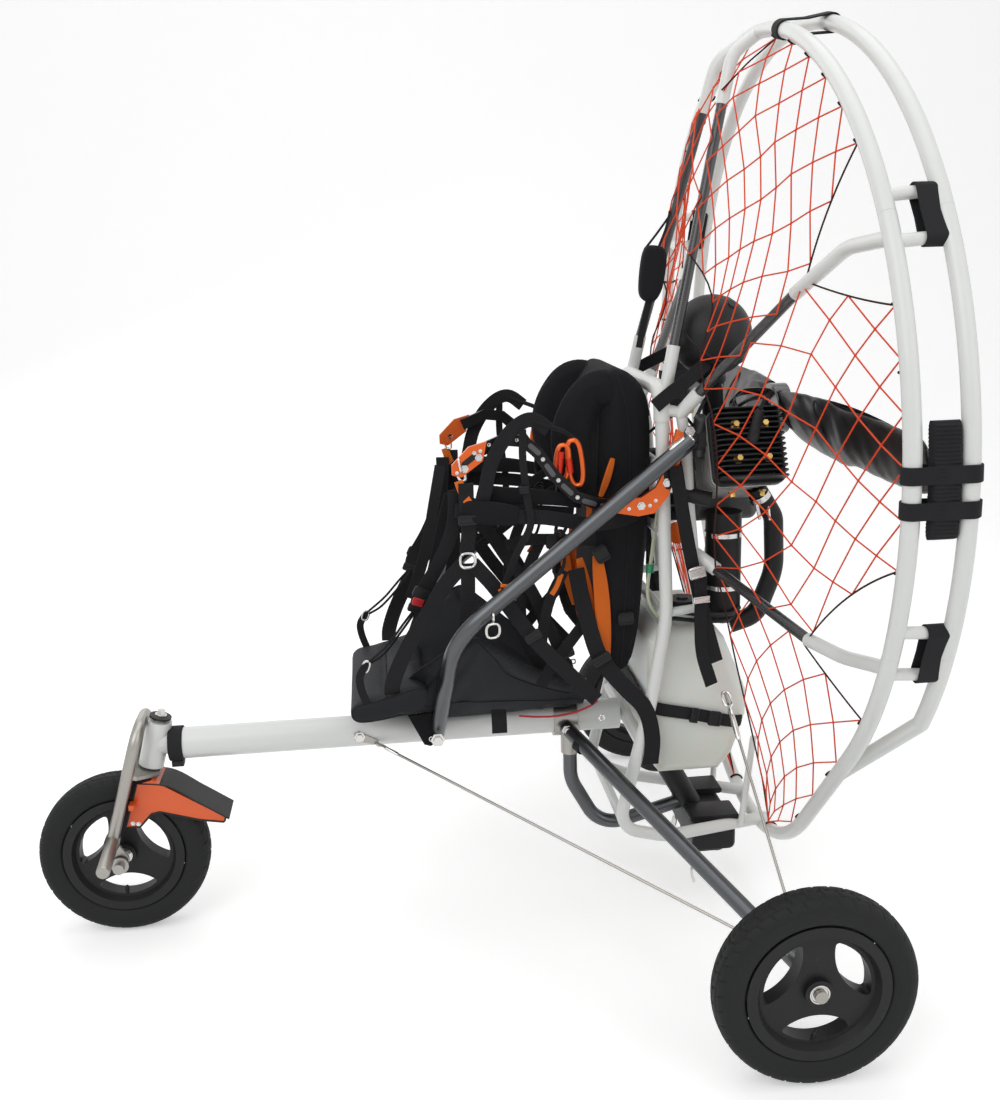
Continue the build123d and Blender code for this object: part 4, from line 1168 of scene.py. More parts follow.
def side_line(points, y, bulge):
    """Trim on a cushion's side: a smooth line of X and Z at a Y that swells in its middle."""
    line = smooth([(x, y, z) for x, z in points], 50)
    line[:, 1] -= bulge * np.sin(np.linspace(0, math.pi, len(line)))
    return line


def piping(lines, cushion, sides=(1, -1)):
    """Piping that lies on a cushion's swollen face, on the sides that are asked for.

    Each point of a line goes to the mean of the six points of the cushion nearest to it, and a
    running mean of five points evens the line."""
    skin = (points_of(cushion.data) - ORIGIN) * 1000
    made = []
    for line, radius in lines:
        for side in sides:
            path = line * (1, side, 1)
            gap = np.linalg.norm(path[:, None] - skin[None], axis=2)
            path = skin[np.argpartition(gap, 6, axis=1)[:, :6]].mean(1)
            even = sum(path[k:len(path) - 4 + k] for k in range(5)) / 5
            made.append(sweep(np.vstack([path[:2], even, path[-2:]]), circle(radius, 6)))
    return made


def back_trim():
    """Lines and radii of the piping down the back cushion's side seam and round its rim."""
    seam = side_line(BACK_SEAM, -120, 3)
    rim = smooth([(x, -102, z) for x, z in BACK_OUTLINE[9:] + BACK_OUTLINE[:4]], 90)
    return [(seam, 1.8), (rim, 2.0)]


def front_trim():
    """Lines and radii of the piping round the front cushion's side and over its fold."""
    fold = smooth([(-614, -158, 480), (-612, -140, 492), (-612, -60, 492), (-612, 2, 492)], 40)
    return [(smooth([(x, -156, z) for x, z in FRONT_OUTLINE], 90, closed=True), 1.8), (fold, 2.0)]


def seat_trim():
    """Lines and radii of the piping over the flaps' tops and along their seams."""
    tops = [(-602, 472), (-585, 498), (-550, 536), (-512, 568), (-480, 586), (-450, 594), (-410, 564),
            (-380, 540), (-330, 506), (-285, 476), (-248, 458)]
    flap = smooth([(x, -seat_side(z) + 7, z) for x, z in tops], 90)
    seam = smooth([(x, -seat_side(z) - 1, z) for x, z in PAN_SEAM], 60)
    zip_line = smooth([(x, -seat_side(z) - 1, z) for x, z in ((-548, 470), (-530, 500), (-510, 524))], 20)
    low = ((-560, 436), (-500, 440), (-420, 436), (-330, 428), (-262, 426))
    low = smooth([(x, -seat_side(z) - 1, z) for x, z in low], 50)
    return [(flap, 2.4), (seam, 1.6), (zip_line, 2.0), (low, 1.5)]


def red_edge():
    """Red cord along the seat's low edge, where the cloth meets the tube."""
    line = smooth([(-370, -62, 397), (-336, -62, 393), (-300, -62, 392), (-262, -62, 398), (-236, -62, 408),
                   (-222, -60, 416)], 40)
    return sweep(line, circle(2.0, 6))


def lining():
    """Four orange tongues of lining that show between the back cushion and the straps."""
    tongues = []
    for points, width in (([(-262, -112, 706), (-252, -116, 660), (-244, -118, 610), (-232, -116, 552)], 22),
                          ([(-232, -123, 712), (-226, -126, 650), (-222, -126, 590), (-218, -123, 524)], 30),
                          ([(-246, -118, 850), (-244, -120, 810), (-246, -118, 772)], 12),
                          ([(-204, -128, 884), (-214, -128, 850), (-226, -127, 818)], 14)):
        path = smooth(points, 24)
        taper = 0.35 + 0.65 * np.sqrt(np.clip(np.sin(np.linspace(0.12, math.pi - 0.12, 24)), 0, 1))
        tongues.append(sweep(path, band(width, 5), (0.25, -1, 0), taper))
    return tongues


# Webbing of the pilot's left: points of X, Y and Z, then the width. The right side mirrors it.
LEFT_WEBBING = (
    ([(-444, -172, 800), (-430, -175, 850), (-418, -177, 895), (-395, -177, 934), (-368, -175, 958),
      (-345, -172, 962), (-320, -168, 944)], 25),
    ([(-365, -177, 948), (-366, -179, 895), (-360, -180, 830), (-356, -180, 785), (-380, -183, 740),
      (-396, -190, 704), (-412, -200, 672)], 13),
    ([(-482, -170, 816), (-440, -177, 811), (-405, -178, 806), (-375, -177, 801), (-330, -172, 796),
      (-285, -168, 786), (-255, -164, 778), (-200, -152, 780), (-165, -134, 786)], 25),
    ([(-462, -176, 862), (-462, -176, 825), (-460, -174, 780), (-464, -168, 742)], 26),
    ([(-470, -167, 722), (-505, -170, 685), (-530, -173, 645), (-560, -172, 600), (-586, -166, 550),
      (-600, -158, 512), (-602, -150, 490)], 28),
    ([(-463, -166, 722), (-465, -168, 660), (-474, -174, 596)], 25),
    ([(-455, -166, 722), (-420, -170, 680), (-390, -176, 635), (-350, -182, 580), (-305, -184, 530),
      (-244, -172, 462)], 26),
    ([(-480, -167, 850), (-481, -163, 812), (-489, -155, 770), (-515, -145, 712), (-546, -140, 662),
      (-552, -136, 640)], 25),
    ([(-486, -140, 838), (-500, -118, 780), (-518, -106, 700), (-535, -102, 645), (-556, -102, 588)], 22),
    ([(-435, -60, 725), (-385, -64, 760), (-330, -70, 805), (-272, -80, 838)], 16),
    ([(-470, -96, 792), (-425, -100, 765), (-385, -102, 705), (-350, -108, 655), (-312, -120, 570),
      (-290, -132, 500)], 22),
    ([(-392, -122, 738), (-360, -126, 747), (-325, -126, 747), (-270, -122, 742), (-232, -118, 738)], 20),
    ([(-330, -112, 742), (-352, -106, 690), (-366, -100, 628), (-360, -100, 560), (-330, -104, 500)], 20),
    ([(-292, -128, 690), (-318, -132, 640), (-332, -138, 590), (-338, -146, 545)], 20),
    ([(-270, -124, 690), (-262, -130, 640), (-250, -140, 585), (-232, -152, 530), (-192, -160, 478),
      (-156, -163, 436), (-142, -162, 380), (-144, -158, 326)], 30),
    ([(-250, -128, 600), (-284, -134, 560), (-318, -142, 520), (-340, -148, 486)], 22),
)


class TRIKE_OT_webbing(bpy.types.Operator):
    """Harness webbing with its sleeves, buckles, rings, hooks and carabiners"""
    bl_idname = "trike.webbing"
    bl_label = "Webbing"

    def execute(self, context):
        _, sizes = settings()
        share = sizes.webbing / 25
        straps = [strap(points, width * share, (0.12, -1, 0.05)) for points, width in LEFT_WEBBING]
        straps += [rope([(-557, -136, 636), (-575, -142, 616), (-606, -150, 580), (-642, -152, 550)],
                        2.2, 30),
                   rope([(-552, -133, 636), (-578, -136, 602), (-612, -146, 564), (-638, -149, 548)],
                        2.2, 30),
                   rope([(-345, -172, 958), (-322, -168, 950), (-296, -156, 940), (-276, -150, 926)],
                        4.0, 30),
                   strap([(-642, -152, 550), (-656, -155, 528), (-655, -157, 504), (-646, -155, 476)], 14,
                         (0.12, -1, 0.05)),
                   strap([(-411, -90, 424), (-411, -99, 408), (-411, -100, 382)], 28, (0.0, -1, 0.0))]
        piece("webbing", both_sides(straps), "webbing")
        waist = smooth([(-474, -173, 816), (-440, -178, 812), (-405, -179, 807), (-378, -178, 802)], 24)
        swollen = 0.72 + 0.28 * np.sqrt(np.clip(np.sin(np.linspace(0.1, math.pi - 0.1, 24)), 0, 1))
        sleeve = sweep(waist, sleeve_outline(40, 11), (0.1, -1, 0), swollen)
        lumbar = smooth([(-440, -152, 838), (-400, -156, 834), (-350, -156, 830), (-300, -150, 822),
                         (-262, -140, 812)], 30)
        lumbar = sweep(lumbar, sleeve_outline(30, 9), (0.1, -1, 0), np.linspace(1.15, 0.7, 30))
        pads = piece("webbing_sleeves", both_sides([sleeve, lumbar]), "cloth")
        orange = [strap(points, width, facing) for points, width, facing in
                  (([(-474, -173, 866), (-466, -176, 842), (-452, -176, 818), (-444, -175, 806)], 15,
                    (0.1, -1, 0)),
                   ([(-412, -203, 690), (-400, -204, 688), (-396, -203, 676), (-408, -204, 672),
                     (-414, -203, 684)], 6, (0.1, -1, 0)),
                   ([(-300, -150, 690), (-309, -151, 668), (-318, -152, 654)], 9, (0.1, -1, 0)))]
        piece("orange_loops", both_sides(orange), "orange web")
        links = [link((-296, -152, 884), 62, 22, 4.0, (0.12, 0, 1), (1, -0.3, -0.12)),
                 link((-274, -154, 884), 78, 24, 4.2, (-0.10, 0, 1), (1, -0.3, 0.10))]
        piece("carabiners", both_sides(links), "anodised")
        sleeves = [closed_turn([(-20, 6.2), (20, 6.2)], (-300, -152, 884), (0.12, 0, 1), 16),
                   closed_turn([(-12, 6.0), (12, 6.0)], (-284, -156, 880), (-0.10, 0, 1), 16)]
        piece("carabiner_gates", both_sides(sleeves), "red metal")
        dark = [link((-292, -140, 842), 60, 20, 3.4, (0.05, 0, 1), (1, -0.3, 0)),
                link((-298, -150, 776), 34, 16, 3.0, (0.4, 0, 1), (1, -0.3, -0.4)),
                link((-300, -150, 752), 30, 16, 3.0, (-0.3, 0, 1), (1, -0.3, 0.3)),
                link((-304, -150, 706), 34, 15, 3.0, (0.3, 0, 1), (1, -0.3, -0.3))]
        piece("dark_links", both_sides(dark), "black metal")
        steel = [link((-463, -170, 728), 26, 26, 2.6, (0, 0, 1), (1, 0, 0)),
                 link((-469, -170, 878), 26, 12, 2.2, (-0.25, 0, 1), (1, 0, 0.25)),
                 link((-470, -176, 892), 22, 14, 2.2, (-0.2, 0, 1), (0.2, 1, 0)),
                 link((-645, -152, 544), 20, 12, 2.0, (0.4, 0, 1), (1, 0, -0.4))]
        piece("steel_rings", both_sides(steel), "bright")
        frames = [buckle((-543, -141, 668), (-0.5, 0.05, -1), 30, 20),
                  buckle((-554, -136, 640), (-0.4, 0, -1), 28, 16),
                  buckle((-462, -178, 800), (0, 0, 1), 32, 18), buckle((-366, -182, 848), (0, 0, 1), 16, 12),
                  buckle((-226, -130, 716), (0.5, 0, -1), 26, 30),
                  buckle((-182, -124, 594), (0.05, 0, -1), 30, 24),
                  buckle((-232, -156, 532), (0.5, 0, -1), 34, 18),
                  buckle((-356, -180, 590), (0.5, 0, -1), 30, 18),
                  buckle((-292, -130, 540), (0.3, 0, -1), 30, 22),
                  buckle((-312, -124, 742), (1, 0, 0), 24, 22)]
        piece("buckles", both_sides(frames), "moulded")
        tabs = [buckle((-550, -141, 653), (-0.4, 0, -1), 20, 15),
                buckle((-522, -107, 690), (-0.4, 0, -1), 9, 24),
                buckle((-546, -104, 616), (-0.4, 0, -1), 7, 26)]
        piece("red_tabs", both_sides(tabs), "red trim")
        tip = slab([(-38, 30), (34, 34), (14, -26), (2, -34), (-10, -30)], 6, (-538, -62, 384), (1, 0, 0),
                   (0, 0, 1), 2)
        piece("seat_tips", both_sides(tip), "cloth")
        eyelets = [link((-534, -67, 366), 8, 8, 1.6, (0, 0, 1), (1, 0, 0)),
                   link((-232, -153, 420), 9, 9, 1.8, (0, 0, 1), (1, 0, 0))]
        piece("seat_eyelets", both_sides(eyelets), "bright")
        return {"FINISHED"}


def sleeve_outline(width, thickness):
    """Flattened oval for a padded sleeve round a strap."""
    turn = full_turn(20)
    c, s = np.cos(turn), np.sin(turn)
    return np.stack([thickness / 2 * squared(c, 0.7), width / 2 * squared(s, 0.5)], 1)


def link(centre, length, width, bar, long_way, wide_way):
    """Closed link of round bar: a rounded oval in the plane of its long and its wide direction.

    The oval is length / 2 * cos and width / 2 * sin of the turn, each raised to 0.75 to square it up."""
    long_way = unit(long_way)
    wide_way = unit(np.asarray(wide_way, float) - np.dot(wide_way, long_way) * long_way)
    turn = full_turn(36)
    c, s = np.cos(turn), np.sin(turn)
    path = (np.asarray(centre, float) + length / 2 * squared(c, 0.75)[:, None] * long_way
            + width / 2 * squared(s, 0.75)[:, None] * wide_way)
    along = unit(np.roll(path, -1, 0) - np.roll(path, 1, 0))
    first = np.broadcast_to(np.cross(long_way, wide_way), path.shape)
    second = np.cross(along, first)
    outline = circle(bar, 8)
    points = path[:, None] + first[:, None] * outline[None, :, :1] + second[:, None] * outline[None, :, 1:]
    return grid(points, wrap_rows=True, wrap_columns=True)


def buckle(centre, along, width, length):
    """Moulded buckle on a strap: a rounded plate with a raised bar across each end."""
    along = unit(along)
    out = np.array([0.12, -1.0, 0.0])
    out = unit(out - np.dot(out, along) * along)
    across = np.cross(out, along)
    centre = np.asarray(centre, float) + out * 2.0
    plate = slab(rounded(width, length, min(width, length) * 0.25), 5, centre, across, along, 1.2)
    half = across * width / 2.2
    middles = [centre + out * 2.4 + along * k * length * 0.36 for k in (-1, 1)]
    return joined([plate] + [sweep([m - half, m + half], circle(2.0, 8)) for m in middles])


# Straps and small fittings
def arch(points, width, thickness, across, count):
    """Strap whose breadth lies along one direction while its path bends round it."""
    path = smooth(points, count)
    facing = np.cross(np.gradient(path, axis=0), across)
    return sweep(path, band(width, thickness), facing)


def closed_band(path, across, width, thickness):
    """Strap round a closed path; its breadth lies along one direction."""
    along = unit(np.roll(path, -1, 0) - np.roll(path, 1, 0))
    across = np.broadcast_to(unit(across), path.shape)
    out = np.cross(along, across)
    outline = band(width, thickness)
    points = path[:, None] + out[:, None] * outline[None, :, :1] + across[:, None] * outline[None, :, 1:]
    return grid(points, wrap_rows=True, wrap_columns=True)


def round_two(first, second, radius, out):
    """Closed path round two bars seen end on: half circles joined by runs that sink in a little.

    The bars' centres are first and second, and out is square to the line between them."""
    first, second = np.asarray(first, float), np.asarray(second, float)
    along = unit(second - first)
    out = unit(np.asarray(out, float) - np.dot(out, along) * along)
    turn = np.linspace(-math.pi / 2, math.pi / 2, 14)
    one = second + radius * (np.cos(turn)[:, None] * along + np.sin(turn)[:, None] * out)
    other = first - radius * (np.cos(turn)[:, None] * along + np.sin(turn)[:, None] * out)
    sag = 0.18 * radius * out
    middle_high = (one[-1] + other[0]) / 2 - sag
    middle_low = (one[0] + other[-1]) / 2 + sag
    return np.vstack([one, middle_high[None], other, middle_low[None]])


def hoop_strap(degrees, width):
    """Band round the front and the rear hoop at one angle."""
    front, rear = hoop_point(HOOP_RADIUS, degrees), hoop_point(REAR_HOOP_RADIUS, degrees, HOOP_GAP)
    inward = unit(np.array([HOOP_X, 0, HOOP_Z]) - front)
    across = unit(hoop_point(HOOP_RADIUS, degrees + 1) - hoop_point(HOOP_RADIUS, degrees - 1))
    return closed_band(round_two(front, rear, HOOP_TUBE + 1.8, inward), across, width, 2.6)


def rung_strap(first, second, share, width):
    """Band round two neighbouring cross tubes, at a share of the way from the front to the rear hoop."""
    ends = [hoop_point(HOOP_RADIUS + (REAR_HOOP_RADIUS - HOOP_RADIUS) * share, angle, HOOP_GAP * share)
            for angle in (first, second)]
    outward_way = unit(ends[0] - np.array([HOOP_X, 0, HOOP_Z]))
    return closed_band(round_two(ends[0], ends[1], RUNG_RADIUS + 1.8, outward_way), (1, 0, 0), width, 3.0)


def ribbed_pad():
    """Elastic pad between the two hoops, its skin ribbed along the hoop by a sine of the height."""
    steps, ribs = 150, 30
    angles = 89.4 + np.linspace(-7.2, 6.4, steps)
    share = np.linspace(0, 1, steps)
    swell_out = 1.0 + 0.07 * np.sin(share * 2 * math.pi * ribs)
    ends = np.sqrt(np.clip(1 - np.abs(2 * share - 1) ** 14, 0.02, 1))
    centre = (hoop_point(HOOP_RADIUS, angles) + hoop_point(REAR_HOOP_RADIUS, angles, HOOP_GAP)) / 2
    radial = unit(centre - np.array([HOOP_X + HOOP_GAP / 2, 0, HOOP_Z]))
    turn = full_turn(32)
    c = squared(np.cos(turn), 0.4) * (HOOP_GAP / 2 - HOOP_TUBE - 5.5) + 4.5
    r = squared(np.sin(turn), 0.6) * 13.0
    points = (centre[:, None] + np.array([1.0, 0, 0]) * c[None, :, None]
              + radial[:, None] * (r[None, :] * (swell_out * ends)[:, None])[..., None])
    return capped(points)


class TRIKE_OT_straps(bpy.types.Operator):
    """Black straps and pads that hold the cage, the tank, the main tube and the engine's hoop"""
    bl_idname = "trike.straps"
    bl_label = "Cage and tank straps"

    def execute(self, context):
        bands = [hoop_strap(88.2, 24), hoop_strap(92.2, 24), rung_strap(55.5, 61.5, 0.72, 34),
                 rung_strap(108, 114.5, 0.72, 34)]
        piece("cage_straps", both_sides(bands), "webbing")
        piece("top_strap", hoop_strap(-13, 26), "webbing")
        pads = piece("tip_pads", both_sides(ribbed_pad()), "webbing")
        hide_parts("cage_pads")
        turn = full_turn(40)
        tail = slab(rounded(22, 12, 2), 20, (-1004, -4, MAIN_TUBE_Z - 36), (1, 0, 0), (0, 0, 1), 1.5)
        piece("tube_strap_buckle", tail, "moulded")
        round_tube = np.stack([0 * turn, np.cos(turn), np.sin(turn)], 1)
        loop = np.array([-1004.0, 0, MAIN_TUBE_Z]) + 31.2 * round_tube
        tube_strap = [closed_band(loop, (1, 0, 0), 26, 2.8)]
        tank = [(-146, -100, 428), (-146, 0, 430), (-146, 100, 428), (-128, 131.5, 422), (-50, 132, 404),
                (10, 131.5, 388), (36, 118, 384), (46.5, 60, 384), (47, 0, 384), (46.5, -60, 384),
                (36, -118, 384), (10, -131.5, 388), (-50, -132, 404), (-128, -131.5, 422)]
        tank = smooth(tank, 120, closed=True)[:-1]
        tube_strap.append(closed_band(tank, (0.18, 0, 1), 24, 2.4))
        piece("tube_and_tank_straps", joined(tube_strap), "webbing")
        near = [strap([(-108, -184, 874), (-94, -182, 790), (-76, -179, 700), (-52, -176, 600),
                       (-30, -175, 520)], 25, (0.15, -1, 0), 2.4),
                strap([(-66, -181, 690), (-62, -183, 650), (-62, -184, 600), (-58, -184, 540),
                       (-40, -182, 480)], 24, (0.15, -1, 0), 2.2),
                strap([(-140, -167, 975), (-118, -166, 992), (-92, -160, 1009), (-60, -140, 1028),
                       (-30, -112, 1046)], 24, (0.4, -1, 0.4), 2.4)]
        stays = piece("stay_webbing", both_sides(near), "webbing")
        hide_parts("stay_straps")
        clips = [buckle((-70, -184, 688), (0.25, 0, -1), 30, 22),
                 buckle((-62, -186, 640), (0.05, 0, -1), 30, 12)]
        piece("stay_buckles", both_sides(clips), "bright")
        tank_clips = [buckle((-58, -134, 405), (1, 0, -0.2), 28, 16),
                      buckle((-20, -134, 396), (1, 0, -0.2), 28, 26)]
        piece("tank_buckles", both_sides(tank_clips), "moulded")
        return {"FINISHED"}


class TRIKE_OT_fittings(bpy.types.Operator):
    """Bolts, rings, cable ends, shackles and sleeves of the undercarriage and the harness arms"""
    bl_idname = "trike.fittings"
    bl_label = "Fittings"

    def execute(self, context):
        out = np.array([0.0, -1.0, 0.0])
        plate_face = -(ARM_Y + 8.6)
        heads = [bolt((-463, plate_face, 886), out, 4.6, 4), bolt((-439, plate_face, 904), out, 4.4, 4),
                 bolt((-446, plate_face, 912), out, 2.6, 2.5), bolt((-120, plate_face, 846), out, 5.5, 5),
                 bolt((-116, plate_face, 880), out, 5.5, 5), bolt((-165, plate_face, 808), out, 5, 4.5),
                 bolt((-523, -74, MAIN_TUBE_Z + 1), out, 9, 7), bolt((-666, -34.5, 366), out, 7, 6),
                 bolt((-82, -176, 932), out, 6, 6), bolt((-280, -58, 360), out, 7, 6)]
        piece("bolts", both_sides(heads), "bright")
        holes = [turned([(0, 3.2), (0.7, 3.2), (0.7, 2.0), (0.1, 0.01)], (x, plate_face, z), out, 14)
                 for x, z in ((-198, 808), (-186, 804), (-150, 808), (-140, 816), (-476, 880), (-436, 915))]
        row = [(-420, 923), (-408, 928), (-396, 931), (-384, 930.5), (-373, 929)]
        holes += [turned([(0, 3.4), (0.7, 3.4), (0.7, 2.2), (0.1, 0.01)], (x, -(ARM_Y + 0.2), z), out, 14)
                  for x, z in row]
        piece("arm_eyelets", both_sides(holes), "bright")
        # Flat grey plates where the arms' slots are; their grey is a painted highlight, the glint on the
        # slots' walls
        slots = []
        arm = smooth([(-362, 0, 926), (-338, 0, 905), (-312, 0, 866), (-275, 0, 828), (-235, 0, 812),
                      (-190, 0, 807)], 60)
        for k in (6, 18, 30, 42):
            along = unit(arm[k + 3] - arm[k - 3])
            across = np.cross(out, along)
            slots.append(slab(rounded(27, 9, 4.4), 1.2, arm[k] * (1, 0, 1) + (0, -(ARM_Y + 0.3), 0), along,
                              across, 0.5))
        piece("arm_slots", both_sides(slots), "slot")
        dots = [bolt(arm[k] * (1, 0, 1) + (0, -(ARM_Y + 0.2), 0), out, 2.6, 1.6) for k in (12, 24, 36, 48)]
        piece("arm_rivets", both_sides(dots), "bright")
        relief = [slab(rounded(30, 10, 4.8), 1.2, (-455, plate_face + 0.2, 900), (0.8, 0, 0.6),
                       (-0.6, 0, 0.8), 0.5),
                  slab(rounded(56, 11, 5), 1.2, (-121, plate_face + 0.2, 862), (0.1, 0, -1),
                       (1, 0, 0.1), 0.5)]
        piece("plate_slots", both_sides(relief), "moulded")
        rings = [link((-430, -236, 622), 24, 24, 2.2, (0, 0, 1), (1, 0.3, 0)),
                 link((-428, -226, 642), 16, 12, 2.0, (0, 0, 1), (0, 1, 0))]
        piece("bar_rings", both_sides(rings), "bright")
        piece("bar_ends", both_sides(bar_end()), "bright")
        piece("cable_ends", both_sides(cable_ends()), "bright")
        sleeve = turned([(0, 14.6), (0, 15.6), (16, 15.6), (16, 14.6)], (-262, -78, 342), (92, -156, -46), 20)
        piece("arm_sleeves", both_sides(sleeve), "webbing")
        holder = [slab(rounded(84, 62, 12), 170, (-2, 0, 134), (1, 0, 0), (0, 0, 1), 4),
                  slab(rounded(66, 30, 10), 96, (-2, 0, 96), (1, 0, 0), (0, 0, 1), 3),
                  slab(rounded(96, 12, 5), 60, (-2, -58, 172), (1, 0, 0), (0, 0, 1), 2),
                  slab(rounded(96, 12, 5), 60, (-2, 58, 172), (1, 0, 0), (0, 0, 1), 2),
                  rope([(-92, 0, 282), (-28, 0, 166)], 22, 4, 24),
                  closed_turn([(0, 34), (5, 40), (24, 40), (32, 30)], (-90, 0, 252), (-0.1, 0, 1), 32)]
        held = piece("base_holder", joined(holder), "moulded")
        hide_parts("base_bracket")
        shackles = [link((-20, -40, 96), 30, 18, 3.0, (0.3, 0, -1), (1, 0, 0.3)),
                    link((-44, -62, 92), 30, 18, 3.0, (-0.2, 0, -1), (0, 1, 0)),
                    rope([(-30, -46, 74), (-38, -56, 48), (-36, -70, 30)], 3.0, 16, 6),
                    bolt((20, -30, 82), (0, 0, -1), 7, 8), bolt((-24, -30, 82), (0, 0, -1), 7, 8)]
        piece("base_shackles", both_sides(shackles), "bright")
        return {"FINISHED"}


def bar_end():
    """Bright plug and pinch collar where the side bar meets the chassis."""
    top = np.array([-86.0, -182.0, 915.0])
    way = unit(np.array([411.0, 32.0, 314.0]))
    return turned([(-34, 14.3), (-34, 15.2), (-30, 15.4), (-4, 15.4), (0, 14.2), (8, 12.5), (9, 0.01)],
                  top, way, 32)


def cable_ends():
    """Crimped sleeves, thimbles and turnbuckles at the ends of the wire stays."""
    lug, rear = np.array([-638.0, -31.0, 351.0]), np.array([-20.0, -(HALF_TRACK - 56.0), 174.0])
    way = unit(rear - lug)
    made = [closed_turn([(0, 3.6), (26, 3.6), (30, 2.6)], lug + way * 26, way, 12),
            plug(3.4, 22, rear - way * 46, way, 12),
            link(lug + way * 14, 26, 11, 2.0, way, (0, 1, 0)),
            link(rear - way * 10, 24, 10, 2.0, way, (0, 0, 1))]
    top, low = np.array([-12.0, -172.0, 458.0]), np.array([2.0, -(HALF_TRACK - 50.0), 170.0])
    way = unit(low - top)
    made += [closed_turn([(0, 3.0), (6, 5.0), (60, 5.0), (66, 3.0)], top + way * 30, way, 14),
             link(top + way * 12, 30, 15, 2.4, way, (1, 0, 0)),
             link(top + way * 34, 26, 11, 2.0, way, (0, 1, 0)),
             plug(3.2, 20, low - way * 44, way, 12)]
    return made


